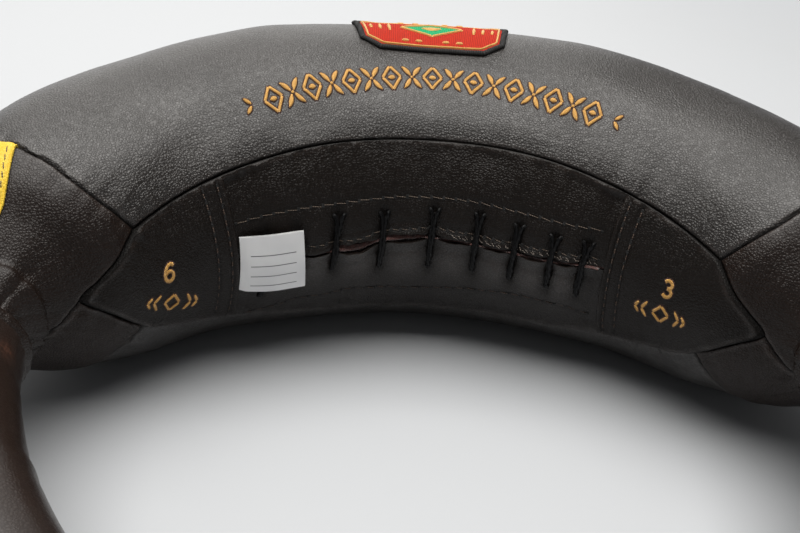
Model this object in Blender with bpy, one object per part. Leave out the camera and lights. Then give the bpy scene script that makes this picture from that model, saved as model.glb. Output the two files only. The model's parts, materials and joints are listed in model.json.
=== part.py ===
# Bulgarian bag: a stuffed leather crescent that ends in two soft grip handles.
# Metres, +Z up. The crescent lies on its flattened underside with its back toward +Y
# and its handles toward -Y. The origin is on the floor under the middle of its outline.
#
# A place on the bag is given by its run, the distance along the tube's centre line from the
# middle of the back (right side positive), and by its girth angle, which is 0 on the side that
# faces the middle of the crescent and 90 degrees on the crown.

import math

import bmesh
import bpy
from mathutils import Vector

# Tube radius, by the run where it holds
BACK_RADIUS = 0.065
SHOULDER_RADIUS = 0.0665
SHOULDER_RUN = 0.061
SIDE_RADIUS = 0.060
SIDE_RUN = 0.122
HORN_RADIUS = 0.0497
HORN_RUN = 0.196
GRIP_RADIUS = 0.0198
NECK_RUN = 0.245

# Bend radius of the centre line, by the run where it holds
BACK_BEND = 0.200
BACK_BEND_RUN = 0.0715
SIDE_BEND = 0.136
SIDE_BEND_RUN = 0.143
HORN_BEND = 0.101
HORN_BEND_RUN = 0.2145
GRIP_BEND = 0.230
GRIP_BEND_RUN = 0.286

# Resting shape
CROWN_SHARE = 1.057
FLAT_DEPTH = 0.004
REST_RUN = 0.142
LIFT_RUN = 0.195
GRIP_DROOP = 0.010

# Leather and what is sewn from it
LEATHER = 0.0014
SEAM_GAP = 0.0005
CLEARANCE = 0.0004
FILL_GAP = 0.0009
CORNER_RUN = 0.182
TIP_RUN = 0.2175
MAIN_SEAM_RUN = 0.196
LAP_RUN = 0.1158
LAP_WIDTH = 0.0172
HORN_END_RUN = 0.234
SEAM_ANGLE_BACK = 38.0
SEAM_ANGLE_CORNER = 24.6
SEAM_TWIST = 35.0
TIP_CURVE = 1.7
MAIN_SEAM_CURVE_SHARE = 0.226

# Neck collar, neck tie and hinge of the handle
WAIST_RUN = 0.2475
WAIST_RADIUS = 0.0175
FLARE_RUN = 0.2565
FLARE_RADIUS = 0.0245
COLLAR_END_RUN = 0.2625
TIE_RUN = 0.2455
TIE_CORD_RADIUS = 0.0018
PLUG_RADIUS = 0.0112
PLUG_START_RUN = 0.2405
PLUG_END_RUN = 0.2495
HINGE_RUN = 0.2505

# Handle
GRIP_START_RUN = 0.2555
GRIP_END_RUN = 0.3868
CAP_DEPTH = 0.011
CAP_CURVE = 2.4
CAP_RING_SHARES = (0.0, 0.45, 0.75, 0.93)

# Filling closure
SLIT_GAP = 0.0012
LACE_RADIUS = 0.0008
LACE_HOLE_RADIUS = 0.0013
LACE_TURN = 0.0009
LACE_SLANT = 0.003
LACE_TOP_ANGLE = 11.0
LACE_LOW_ANGLE = -10.0
LACE_TAIL = 0.006
FACING_ANGLE = 17.0
SLOT_ANGLE = 12.0
SLOT_MARGIN_ANGLE = 4.0
LACE_PLACE_SHARES = (-0.84, -0.675, -0.475, -0.22, 0.045, 0.29, 0.50, 0.70, 0.87)

# Care label, a folded ribbon
LABEL_LEFT_RUN = -0.1165
LABEL_RIGHT_RUN = -0.0762
LABEL_TOP_ANGLE = 8.7
LABEL_LOW_ANGLE = -15.3
RIBBON = 0.0003
RIBBON_GAP = 0.0003

# Accent strip on each horn
STRIP_THICKNESS = 0.0011
STRIP_INNER_ANGLE = 81.0
STRIP_OUTER_ANGLE = 106.0
STRIP_END_MARGIN = 0.002

# Patch on the crown
PATCH_HALF_WIDTH = 0.033
PATCH_HALF_HEIGHT = 0.024
PATCH_CHAMFER = 0.008
PATCH_ANGLE = 97.0
PATCH_GROUND = 0.0009
PATCH_BORDER = 0.0015
PATCH_BORDER_WIDTH = 0.0026
PATCH_EDGE_STEP = 0.009

# Filling
POUCH_RADIUS = 0.0325
POUCH_GAP = 0.0015
POUCH_CLEARANCE = 0.0008
POUCH_END = 0.014
POUCH_CURVE = 2.2
POUCH_COUNT = 3
POUCH_RING_SHARES = (0.0, 0.35, 0.7, 0.9, 0.98)
WOOL_END_RUN = 0.1045
DEEP_MARGIN = 0.003
DEEP_EASE = 0.010

# Mesh density
CROWN_STEPS = 12
INNER_STEPS = 10
FLAP_STEPS = 5
END_PANEL_STEPS = 12
HORN_STEPS = 6
RUN_STEP = 0.0145
GRIP_STEP = 0.019
ROUND_STEPS = 20
CENTRE_STEPS = 400

# Colours
DARK_LEATHER = (0.020, 0.015, 0.013)
YELLOW_LEATHER = (0.82, 0.47, 0.02)
SUEDE = (0.13, 0.05, 0.03)
WAXED_CORD = (0.008, 0.008, 0.009)
SATIN = (0.80, 0.80, 0.80)
PATCH_RED = (0.52, 0.03, 0.03)
PATCH_BLACK = (0.012, 0.012, 0.012)
WOOL = (0.62, 0.58, 0.50)
SAND_CLOTH = (0.45, 0.38, 0.28)
TIE_CORD = (0.60, 0.56, 0.48)

# Depths below the outer face of the skin
FLAP_TOP = LEATHER + CLEARANCE
FLAP_BOTTOM = FLAP_TOP + LEATHER
LACE_OUTER = FLAP_TOP - CLEARANCE - LACE_RADIUS
LACE_INNER = FLAP_BOTTOM + CLEARANCE + LACE_RADIUS
FACING_TOP = LACE_INNER + LACE_RADIUS + CLEARANCE
FACING_BOTTOM = FACING_TOP + LEATHER
DEEP_FILL = FACING_BOTTOM + CLEARANCE
SHALLOW_FILL = LEATHER + FILL_GAP
LABEL_INNER = LACE_OUTER - LACE_RADIUS - CLEARANCE
LABEL_OUTER = LABEL_INNER - 2 * RIBBON - RIBBON_GAP
FLAP_END_RUN = LAP_RUN + LAP_WIDTH
CENTRE_HEIGHT = CROWN_SHARE * BACK_RADIUS - FLAT_DEPTH
END_RUN = GRIP_END_RUN + CAP_DEPTH

RADIUS_STATIONS = (
    (0.0, BACK_RADIUS),
    (SHOULDER_RUN, SHOULDER_RADIUS),
    (SIDE_RUN, SIDE_RADIUS),
    (HORN_RUN, HORN_RADIUS),
    (NECK_RUN, GRIP_RADIUS),
    (END_RUN, GRIP_RADIUS),
)
BEND_STATIONS = (
    (0.0, 1 / BACK_BEND),
    (BACK_BEND_RUN, 1 / BACK_BEND),
    (SIDE_BEND_RUN, 1 / SIDE_BEND),
    (HORN_BEND_RUN, 1 / HORN_BEND),
    (GRIP_BEND_RUN, 1 / GRIP_BEND),
    (END_RUN, 1 / GRIP_BEND),
)


def ease(share):
    """Smooth step from 0 to 1."""
    share = min(1.0, max(0.0, share))
    return share * share * (3 - 2 * share)


def slope_at(stations, index):
    """Slope of a curve through the stations that never overshoots them."""
    if index in (0, len(stations) - 1):
        return 0.0
    (x0, y0), (x1, y1), (x2, y2) = stations[index - 1:index + 2]
    before = (y1 - y0) / (x1 - x0)
    after = (y2 - y1) / (x2 - x1)
    if before * after <= 0:
        return 0.0
    return 2 * before * after / (before + after)


def curve_through(stations, x):
    """Value at x of the smooth curve through the stations."""
    if x >= stations[-1][0]:
        return stations[-1][1]
    index = max(i for i, station in enumerate(stations) if station[0] <= x)
    (x0, y0), (x1, y1) = stations[index], stations[index + 1]
    span = x1 - x0
    t = (x - x0) / span
    start = slope_at(stations, index) * span
    end = slope_at(stations, index + 1) * span
    return (
        y0 * (2 * t**3 - 3 * t**2 + 1)
        + start * (t**3 - 2 * t**2 + t)
        + y1 * (3 * t**2 - 2 * t**3)
        + end * (t**3 - t**2)
    )


def centre_line():
    """Heading, x and y along the right half of the centre line, at even steps of run."""
    step = END_RUN / CENTRE_STEPS
    heading = x = y = 0.0
    samples = [(heading, x, y)]
    for index in range(CENTRE_STEPS):
        bend = curve_through(BEND_STATIONS, (index + 0.5) * step)
        middle = heading + bend * step / 2
        x += math.cos(middle) * step
        y -= math.sin(middle) * step
        heading += bend * step
        samples.append((heading, x, y))
    return samples


CENTRE = centre_line()


def centre_at(run):
    """Heading and place of the centre line at a run on the right side."""
    place = min(max(run, 0.0), END_RUN) / END_RUN * CENTRE_STEPS
    index = min(int(place), CENTRE_STEPS - 1)
    part = place - index
    return [a + (b - a) * part for a, b in zip(CENTRE[index], CENTRE[index + 1])]


def tube_radius(run):
    """Level radius of the tube."""
    return curve_through(RADIUS_STATIONS, abs(run))


def crown_radius(run):
    """Upright radius of the tube's upper half, which is round again at the grip."""
    round_again = ease((abs(run) - HORN_RUN) / (NECK_RUN - HORN_RUN))
    return tube_radius(run) * (CROWN_SHARE + (1 - CROWN_SHARE) * round_again)


def low_radius(run):
    """Upright radius of the lower half, which sags to the floor along the back and sides."""
    run = abs(run)
    flat = FLAT_DEPTH * (1 - min(1.0, run / REST_RUN) ** 2)
    resting = CENTRE_HEIGHT + flat
    lifted = ease((run - REST_RUN) / (LIFT_RUN - REST_RUN))
    return resting + (crown_radius(run) - resting) * lifted


def centre_height(run):
    """Height of the centre line, which droops a little along the handle."""
    past_neck = max(0.0, abs(run) - NECK_RUN) / (END_RUN - NECK_RUN)
    return CENTRE_HEIGHT - GRIP_DROOP * past_neck**2


def tube_point(run, angle, level, up, down):
    """Point on an oval round the centre line."""
    side = -1.0 if run < 0 else 1.0
    heading, x, y = centre_at(abs(run))
    turn = math.radians(angle)
    reach = level * math.cos(turn)
    rise = (up if math.sin(turn) > 0 else down) * math.sin(turn)
    return Vector((
        side * (x - reach * math.sin(heading)),
        y - reach * math.cos(heading) - MIDDLE_Y,
        centre_height(run) + rise,
    ))


def skin_point(run, angle, depth):
    """Point at a depth below the outer face of the skin."""
    point = tube_point(
        run,
        angle,
        tube_radius(run) - depth,
        crown_radius(run) - depth,
        low_radius(run) - depth,
    )
    if abs(run) < LIFT_RUN:
        point.z = max(point.z, depth)
    return point


def axis_point(run):
    """Point on the centre line."""
    return tube_point(run, 0.0, 0.0, 0.0, 0.0)


def cap_profile():
    """Run and radius of each ring of the handle's domed cap."""
    start = GRIP_END_RUN + SEAM_GAP
    profile = []
    for share in CAP_RING_SHARES:
        radius = GRIP_RADIUS * (1 - share**CAP_CURVE) ** (1 / CAP_CURVE)
        profile.append((start + (END_RUN - start) * share, radius))
    return profile


def outline_middle():
    """Middle of the outline from back to handles, before the origin moves there."""
    lowest = 0.0
    for run, radius in cap_profile():
        heading, x, y = centre_at(run)
        lowest = min(lowest, y - radius * abs(math.cos(heading)))
    return (BACK_RADIUS + lowest) / 2


MIDDLE_Y = 0.0
MIDDLE_Y = outline_middle()


def seam_angle(run):
    """Girth angle of the seam between the top panel and the inner side."""
    share = min(1.0, abs(run) / CORNER_RUN)
    return SEAM_ANGLE_BACK - (SEAM_ANGLE_BACK - SEAM_ANGLE_CORNER) * share**2


def crown_angle(run, share):
    """Angle of a crown line, from the inner seam at share 0 to the outer seam at share 1."""
    low = seam_angle(run)
    return low + (180.0 - low) * share


def main_seam_run(share):
    """Run of the seam between panel and horn, by the share of the crown line."""
    past = min(1.0, share / MAIN_SEAM_CURVE_SHARE)
    return CORNER_RUN + (MAIN_SEAM_RUN - CORNER_RUN) * (1 - (1 - past) ** 2)


def tip_seam_run(share):
    """Run of the seam round the end panel's tip, by the share of the seam angle."""
    return TIP_RUN - (TIP_RUN - CORNER_RUN) * abs(share) ** TIP_CURVE


def horn_twist(run):
    """Turn of the horn's lengthwise seam past the end panel's tip."""
    past_tip = (abs(run) - TIP_RUN) / (HORN_END_RUN - TIP_RUN)
    return -SEAM_TWIST * min(1.0, max(0.0, past_tip))


def gap_angle(run, length=SEAM_GAP / 2):
    """Girth angle that spans a length on the tube."""
    return math.degrees(length / tube_radius(run))


def shares(steps, low=0.0, high=1.0):
    """Even values from low to high."""
    return [low + (high - low) * index / steps for index in range(steps + 1)]


def runs_between(low, high, step=RUN_STEP):
    """Even runs no further apart than the step."""
    return shares(max(1, math.ceil((high - low) / step)), low, high)


def make_material(name, colour, roughness):
    """Plain Principled material."""
    material = bpy.data.materials.new(name)
    material.use_nodes = True
    shader = material.node_tree.nodes["Principled BSDF"]
    shader.inputs["Base Color"].default_value = (*colour, 1.0)
    shader.inputs["Roughness"].default_value = roughness
    shader.inputs["Metallic"].default_value = 0.0
    material.diffuse_color = (*colour, 1.0)
    return material


def add_object(name, points, faces, colour, roughness, origin=Vector()):
    """Object from world points, with its faces turned outward and its own material."""
    mesh = bpy.data.meshes.new(name)
    mesh.from_pydata([point - origin for point in points], [], faces)
    work = bmesh.new()
    work.from_mesh(mesh)
    bmesh.ops.recalc_face_normals(work, faces=work.faces)
    work.to_mesh(mesh)
    work.free()
    mesh.shade_smooth()
    mesh.set_sharp_from_angle(angle=math.radians(40))
    mesh.materials.append(make_material(name, colour, roughness))
    item = bpy.data.objects.new(name, mesh)
    item.location = origin
    bpy.context.collection.objects.link(item)
    return item


def grid_faces(rows, columns, wrap, start=0):
    """Faces of a grid of points, which wraps round its columns where asked."""
    faces = []
    for row in range(rows - 1):
        for column in range(columns if wrap else columns - 1):
            beside = (column + 1) % columns
            near = start + row * columns
            far = near + columns
            faces.append((near + column, far + column, far + beside, near + beside))
    return faces


def add_shell(name, outer, inner, colour, roughness, wrap=False, origin=Vector()):
    """Closed sheet between two grids of points."""
    rows, columns = len(outer), len(outer[0])
    count = rows * columns
    points = [point for row in outer + inner for point in row]
    faces = grid_faces(rows, columns, wrap) + grid_faces(rows, columns, wrap, count)
    for column in range(columns if wrap else columns - 1):
        beside = (column + 1) % columns
        for edge in (0, count - columns):
            faces.append((edge + column, edge + beside, count + edge + beside, count + edge + column))
    if not wrap:
        for row in range(rows - 1):
            for edge in (row * columns, row * columns + columns - 1):
                faces.append((edge, edge + columns, count + edge + columns, count + edge))
    return add_object(name, points, faces, colour, roughness, origin)


def add_skin(name, places, top, bottom, colour, roughness, wrap=False, origin=Vector()):
    """Closed sheet over a grid of places, between two depths."""
    outer = [[skin_point(run, angle, top) for run, angle in row] for row in places]
    inner = [[skin_point(run, angle, bottom) for run, angle in row] for row in places]
    return add_shell(name, outer, inner, colour, roughness, wrap, origin)


def add_solid(name, rings, ends, colour, roughness, origin=Vector()):
    """Closed body through rings of points, with a middle point at each end."""
    columns = len(rings[0])
    count = len(rings) * columns
    points = [point for ring in rings for point in ring] + list(ends)
    faces = grid_faces(len(rings), columns, True)
    for column in range(columns):
        beside = (column + 1) % columns
        last = count - columns
        faces.append((column, beside, count))
        faces.append((last + column, last + beside, count + 1))
    return add_object(name, points, faces, colour, roughness, origin)


def ring_angles(steps=ROUND_STEPS):
    """Even angles round the tube."""
    return [360.0 * index / steps for index in range(steps)]


def girth_angles(run):
    """Angles of every girth line, from the inner middle round over the crown."""
    low = seam_angle(run)
    inner = [low * share for share in shares(INNER_STEPS // 2)]
    crown = [crown_angle(run, share) for share in shares(CROWN_STEPS)[1:]]
    upper = inner + crown
    return upper + [360.0 - angle for angle in reversed(upper[1:-1])]


def build_top_and_bottom():
    """The two long panels, which meet at the outer seam."""
    steps = len(runs_between(-MAIN_SEAM_RUN, MAIN_SEAM_RUN)) - 1
    for name, upside in (("top_panel", 1), ("bottom_panel", -1)):
        places = []
        for along in shares(steps, -1.0, 1.0):
            row = []
            for share in shares(CROWN_STEPS):
                run = along * (main_seam_run(share) - SEAM_GAP / 2)
                edge = gap_angle(run) * (1 - 2 * share) if share in (0.0, 1.0) else 0.0
                row.append((run, upside * (crown_angle(run, share) + edge)))
            places.append(row)
        add_skin(name, places, 0.0, LEATHER, DARK_LEATHER, 0.45)


def build_end_panel(name, side):
    """Weight-marked panel that laps over the closure and ends in a tip."""
    places = []
    for along in shares(END_PANEL_STEPS):
        row = []
        for share in shares(INNER_STEPS, -1.0, 1.0):
            far = tip_seam_run(share) - SEAM_GAP / 2
            run = LAP_RUN + (far - LAP_RUN) * along
            angle = share * (seam_angle(run) - gap_angle(run))
            row.append((side * run, angle))
        places.append(row)
    add_skin(name, places, 0.0, LEATHER, DARK_LEATHER, 0.45)


def horn_lines():
    """Shares round the horn, from its lengthwise seam over the crown and back to it."""
    inner = [("inner", share) for share in shares(INNER_STEPS // 2)]
    crown = [("crown", share) for share in shares(CROWN_STEPS)[1:]]
    upper = [(zone, share, 1) for zone, share in inner + crown]
    lower = [(zone, share, -1) for zone, share, up in reversed(upper[:-1])]
    return upper + lower


def build_horn(name, side):
    """One wrap of leather from the main seam to the neck."""
    places = []
    lines = horn_lines()
    for along in shares(HORN_STEPS):
        row = []
        for index, (zone, share, up) in enumerate(lines):
            near = tip_seam_run(share) if zone == "inner" else main_seam_run(share)
            near += SEAM_GAP / 2
            run = near + (HORN_END_RUN - near) * along
            if zone == "inner":
                angle = seam_angle(run) * share
            else:
                angle = crown_angle(run, share)
            angle = angle if up > 0 else 360.0 - angle
            if index == 0:
                angle += gap_angle(run)
            if index == len(lines) - 1:
                angle -= gap_angle(run)
            row.append((side * run, angle + horn_twist(run)))
        places.append(row)
    add_skin(name, places, 0.0, LEATHER, DARK_LEATHER, 0.45)


def build_accent_strip(name, side):
    """Yellow strip on the horn, from the main seam to the collar."""
    near = MAIN_SEAM_RUN + SEAM_GAP
    far = HORN_END_RUN - STRIP_END_MARGIN
    angles = shares(4, STRIP_INNER_ANGLE, STRIP_OUTER_ANGLE)
    places = [[(side * run, angle) for angle in angles] for run in shares(9, near, far)]
    lift = SEAM_GAP
    add_skin(name, places, -lift - STRIP_THICKNESS, -lift, YELLOW_LEATHER, 0.5)


def cut_holes(panel, angle, slant):
    """Lace holes through a flap, square to its face."""
    points, faces = [], []
    for run in lace_runs():
        centre = skin_point(run + slant, angle, FLAP_TOP)
        inward = (skin_point(run + slant, angle, FLAP_BOTTOM) - centre).normalized()
        across = inward.orthogonal().normalized()
        other = inward.cross(across)
        start = len(points)
        for end in (-LEATHER, 2 * LEATHER):
            for turn in shares(8)[:-1]:
                radial = across * math.cos(math.tau * turn) + other * math.sin(math.tau * turn)
                points.append(centre + inward * end + radial * LACE_HOLE_RADIUS)
        faces += grid_faces(2, 8, True, start)
        faces.append(tuple(range(start, start + 8)))
        faces.append(tuple(range(start + 8, start + 16)))
    cutter = add_object(panel.name + "_cutter", points, faces, DARK_LEATHER, 0.5)
    cutter.hide_render = True
    cutter.display_type = "WIRE"
    panel.modifiers.new("flat_facets", "TRIANGULATE")
    cut = panel.modifiers.new("lace_holes", "BOOLEAN")
    cut.object = cutter
    cut.operation = "DIFFERENCE"
    cut.solver = "EXACT"


def lace_runs():
    """Run of the middle of each lace stitch."""
    return [LAP_RUN * share for share in LACE_PLACE_SHARES]


def build_flap(name, up):
    """Half of the closure, from the slit to its seam and under both laps."""
    places = []
    for run in runs_between(-FLAP_END_RUN, FLAP_END_RUN):
        low = gap_angle(run, SLIT_GAP / 2)
        high = seam_angle(run) - gap_angle(run)
        places.append([(run, up * angle) for angle in shares(FLAP_STEPS, low, high)])
    panel = add_skin(name, places, FLAP_TOP, FLAP_BOTTOM, DARK_LEATHER, 0.45)
    angle = LACE_TOP_ANGLE if up > 0 else LACE_LOW_ANGLE
    cut_holes(panel, angle, up * LACE_SLANT / 2)


def build_facing():
    """Strip behind the slit that keeps the filling in."""
    angles = shares(4, -FACING_ANGLE, FACING_ANGLE)
    places = [[(run, angle) for angle in angles] for run in runs_between(-LAP_RUN, LAP_RUN)]
    add_skin("closure_facing", places, FACING_TOP, FACING_BOTTOM, SUEDE, 0.8)


def hole_pass(run, angle, toward_out, toward_in):
    """Points of the lace as it turns into a hole and out behind the flap."""
    outside = skin_point(run, angle, LACE_OUTER)
    inside = skin_point(run, angle, LACE_INNER)
    before = (skin_point(*toward_out, LACE_OUTER) - outside).normalized()
    after = (skin_point(*toward_in, LACE_INNER) - inside).normalized()
    inward = (inside - outside).normalized()
    return [
        outside + before * LACE_TURN,
        outside + inward * LACE_TURN,
        inside - inward * LACE_TURN,
        inside + after * LACE_TURN,
    ]


def lace_route():
    """One cord that crosses the slit outside, dives and climbs to the next hole behind."""
    runs = lace_runs()
    tops = [(run + LACE_SLANT / 2, LACE_TOP_ANGLE) for run in runs]
    lows = [(run - LACE_SLANT / 2, LACE_LOW_ANGLE) for run in runs]
    route = [skin_point(tops[0][0] - LACE_TAIL, LACE_TOP_ANGLE, LACE_INNER)]
    for index, (top, low) in enumerate(zip(tops, lows)):
        came_from = lows[index - 1] if index else (top[0] - LACE_TAIL, LACE_TOP_ANGLE)
        last = index == len(runs) - 1
        goes_to = (low[0] + LACE_TAIL, LACE_LOW_ANGLE) if last else tops[index + 1]
        route += reversed(hole_pass(*top, low, came_from))
        for share in (1 / 3, 2 / 3):
            run = top[0] + (low[0] - top[0]) * share
            angle = top[1] + (low[1] - top[1]) * share
            route.append(skin_point(run, angle, LACE_OUTER))
        route += hole_pass(*low, top, goes_to)
        if last:
            route.append(skin_point(*goes_to, LACE_INNER))
        else:
            run = (low[0] + goes_to[0]) / 2
            angle = (low[1] + goes_to[1]) / 2
            route.append(skin_point(run, angle, LACE_INNER))
    return route


def build_lace():
    """Waxed cord as one tube along its route."""
    curve = bpy.data.curves.new("closure_lace", "CURVE")
    curve.dimensions = "3D"
    curve.bevel_depth = LACE_RADIUS
    curve.bevel_resolution = 2
    curve.use_fill_caps = True
    points = lace_route()
    line = curve.splines.new("POLY")
    line.points.add(len(points) - 1)
    for target, point in zip(line.points, points):
        target.co = (*point, 1.0)
    curve.materials.append(make_material("closure_lace", WAXED_CORD, 0.4))
    item = bpy.data.objects.new("closure_lace", curve)
    bpy.context.collection.objects.link(item)


def label_axis_point():
    """Point on the hinge line of the label, level with its outer face."""
    middle = (LABEL_TOP_ANGLE + LABEL_LOW_ANGLE) / 2
    return skin_point(LABEL_LEFT_RUN, middle, LABEL_OUTER)


def build_label():
    """Ribbon folded once, with both ends at the left lap and the fold at the right."""
    near, far = LABEL_LEFT_RUN, LABEL_RIGHT_RUN
    fold = 2 * RIBBON + RIBBON_GAP
    middle = (near + far) / 2
    loop = [
        (near, LABEL_OUTER),
        (middle, LABEL_OUTER),
        (far - fold / 2, LABEL_OUTER),
        (far, LABEL_OUTER + fold / 2),
        (far - fold / 2, LABEL_INNER),
        (middle, LABEL_INNER),
        (near, LABEL_INNER),
        (near, LABEL_INNER - RIBBON),
        (middle, LABEL_INNER - RIBBON),
        (far - fold, LABEL_INNER - RIBBON),
        (far - fold, LABEL_OUTER + RIBBON),
        (middle, LABEL_OUTER + RIBBON),
        (near, LABEL_OUTER + RIBBON),
    ]
    angles = shares(4, LABEL_LOW_ANGLE, LABEL_TOP_ANGLE)
    points = [skin_point(run, angle, depth) for angle in angles for run, depth in loop]
    columns = len(loop)
    faces = grid_faces(len(angles), columns, True)
    faces.append(tuple(range(columns)))
    faces.append(tuple(range(len(points) - columns, len(points))))
    add_object("care_label", points, faces, SATIN, 0.5, label_axis_point())


def patch_outline(inset):
    """Chamfered outline of the patch, as places on the skin."""
    width = PATCH_HALF_WIDTH - inset
    height = PATCH_HALF_HEIGHT - inset
    cut = PATCH_CHAMFER
    corners = [
        (width, height - cut), (width - cut, height),
        (cut - width, height), (-width, height - cut),
        (-width, cut - height), (cut - width, -height),
        (width - cut, -height), (width, cut - height),
    ]
    places = []
    for (x0, y0), (x1, y1) in zip(corners, corners[1:] + corners[:1]):
        steps = max(1, round(math.hypot(x1 - x0, y1 - y0) / PATCH_EDGE_STEP))
        for share in shares(steps)[:-1]:
            places.append((x0 + (x1 - x0) * share, y0 + (y1 - y0) * share))
    return places


def patch_point(across, up, depth):
    """Point on the patch, measured from its middle along the skin."""
    angle = PATCH_ANGLE + math.degrees(up / crown_radius(across))
    return skin_point(across, angle, depth)


def build_patch():
    """Cloth ground and the raised stitched border round it."""
    lift = SEAM_GAP
    rim = patch_outline(0.0)
    inside_share = 1 - PATCH_BORDER_WIDTH / PATCH_HALF_HEIGHT
    ground_share = inside_share - SEAM_GAP / PATCH_HALF_HEIGHT
    scales = [ground_share * share for share in (1.0, 2 / 3, 1 / 3)]
    middle = [patch_point(0.0, 0.0, -lift - PATCH_GROUND), patch_point(0.0, 0.0, -lift)]
    top = [[patch_point(x * s, y * s, -lift - PATCH_GROUND) for x, y in rim] for s in reversed(scales)]
    low = [[patch_point(x * s, y * s, -lift) for x, y in rim] for s in scales]
    add_solid("patch_ground", top + low, middle, PATCH_RED, 0.8)
    border = [[patch_point(x * s, y * s, -lift - PATCH_BORDER) for x, y in rim] for s in (1.0, inside_share)]
    under = [[patch_point(x * s, y * s, -lift) for x, y in rim] for s in (1.0, inside_share)]
    add_shell("patch_border", border, under, PATCH_BLACK, 0.7, wrap=True)


def collar_radius(run):
    """Outer radius of the gathered collar, from the horn over the waist to its lip."""
    stations = (
        (HORN_END_RUN, tube_radius(HORN_END_RUN)),
        (WAIST_RUN, WAIST_RADIUS),
        (FLARE_RUN, FLARE_RADIUS),
        (COLLAR_END_RUN, GRIP_RADIUS + SEAM_GAP + LEATHER),
    )
    return curve_through(stations, run)


def round_ring(run, radius, steps=ROUND_STEPS):
    """Ring of points round the centre line."""
    return [tube_point(run, angle, radius, radius, radius) for angle in ring_angles(steps)]


def build_collar(name, side):
    """Gathered leather between horn and handle."""
    runs = shares(7, HORN_END_RUN + SEAM_GAP, COLLAR_END_RUN)
    outer = [round_ring(side * run, collar_radius(run)) for run in runs]
    inner = [round_ring(side * run, collar_radius(run) - LEATHER) for run in runs]
    add_shell(name, outer, inner, DARK_LEATHER, 0.5, wrap=True)


def build_neck_tie(name, side):
    """Cord bound round the plug of the horn filling."""
    reach = PLUG_RADIUS + CLEARANCE + TIE_CORD_RADIUS
    rings = []
    for angle in ring_angles(16):
        ring = []
        for turn in ring_angles(6):
            swing = math.radians(turn)
            radius = reach + TIE_CORD_RADIUS * math.cos(swing)
            run = TIE_RUN + TIE_CORD_RADIUS * math.sin(swing)
            ring.append(tube_point(side * run, angle, radius, radius, radius))
        rings.append(ring)
    points = [point for ring in rings for point in ring]
    faces = grid_faces(len(rings), 6, True)
    last = len(points) - 6
    for column in range(6):
        beside = (column + 1) % 6
        faces.append((last + column, column, beside, last + beside))
    add_object(name, points, faces, TIE_CORD, 0.8)


def hinge_point(side):
    """Place where the handle flexes at its neck."""
    return axis_point(side * HINGE_RUN)


def build_sleeve(name, side):
    """Leather tube of the handle."""
    runs = runs_between(GRIP_START_RUN, GRIP_END_RUN, GRIP_STEP)
    outer = [round_ring(side * run, GRIP_RADIUS) for run in runs]
    inner = [round_ring(side * run, GRIP_RADIUS - LEATHER) for run in runs]
    add_shell(name, outer, inner, DARK_LEATHER, 0.5, wrap=True, origin=hinge_point(side))


def build_cap(name, side):
    """Domed end of the handle."""
    rings = [round_ring(side * run, radius) for run, radius in cap_profile()]
    ends = [axis_point(side * run) for run in (GRIP_END_RUN + SEAM_GAP, END_RUN)]
    add_solid(name, rings, ends, DARK_LEATHER, 0.5, hinge_point(side))


def build_core(name, side):
    """Rolled core that stiffens the handle."""
    radius = GRIP_RADIUS - LEATHER - CLEARANCE
    runs = runs_between(GRIP_START_RUN, GRIP_END_RUN, GRIP_STEP)
    rings = [round_ring(side * run, radius) for run in runs]
    ends = [axis_point(side * run) for run in (runs[0], runs[-1])]
    add_solid(name, rings, ends, WOOL, 0.9, hinge_point(side))


def fill_depth(run, angle):
    """Depth of the filling's face, deeper behind the closure and its laps."""
    off_middle = abs((angle + 180.0) % 360.0 - 180.0)
    past_run = abs(run) - FLAP_END_RUN - DEEP_MARGIN
    past_seam = tube_radius(run) * math.radians(off_middle - seam_angle(run)) - DEEP_MARGIN
    out = max(ease(past_run / DEEP_EASE), ease(past_seam / DEEP_EASE))
    return DEEP_FILL + (SHALLOW_FILL - DEEP_FILL) * out


def build_wool():
    """Wool round the sand pouches, open toward the closure."""
    outer, inner = [], []
    for run in runs_between(-WOOL_END_RUN, WOOL_END_RUN):
        first = SLOT_ANGLE + SLOT_MARGIN_ANGLE
        angles = [angle for angle in girth_angles(run) if first < angle < 360.0 - first]
        angles = [SLOT_ANGLE] + angles + [360.0 - SLOT_ANGLE]
        bore = tube_radius(run) - POUCH_RADIUS - POUCH_CLEARANCE
        outer.append([skin_point(run, angle, fill_depth(run, angle)) for angle in angles])
        inner.append([skin_point(run, angle, bore) for angle in angles])
    add_shell("wool_filling", outer, inner, WOOL, 0.95)


def build_horn_filling(name, side):
    """Filling of a side and horn, narrowed to the plug in the neck."""
    rings = []
    body_end = HORN_END_RUN - SEAM_GAP
    body = runs_between(WOOL_END_RUN + SEAM_GAP, CORNER_RUN)
    for run in body + runs_between(CORNER_RUN, body_end, RUN_STEP / 2)[1:]:
        ring = []
        for angle in girth_angles(run):
            depth = fill_depth(run, angle)
            ring.append(skin_point(side * run, angle + horn_twist(run), depth))
        rings.append(ring)
    for run in (PLUG_START_RUN, PLUG_END_RUN):
        ring = []
        for angle in girth_angles(run):
            turned = angle + horn_twist(run)
            ring.append(tube_point(side * run, turned, PLUG_RADIUS, PLUG_RADIUS, PLUG_RADIUS))
        rings.append(ring)
    ends = [axis_point(side * run) for run in (WOOL_END_RUN + SEAM_GAP, PLUG_END_RUN)]
    add_solid(name, rings, ends, WOOL, 0.95)


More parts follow.
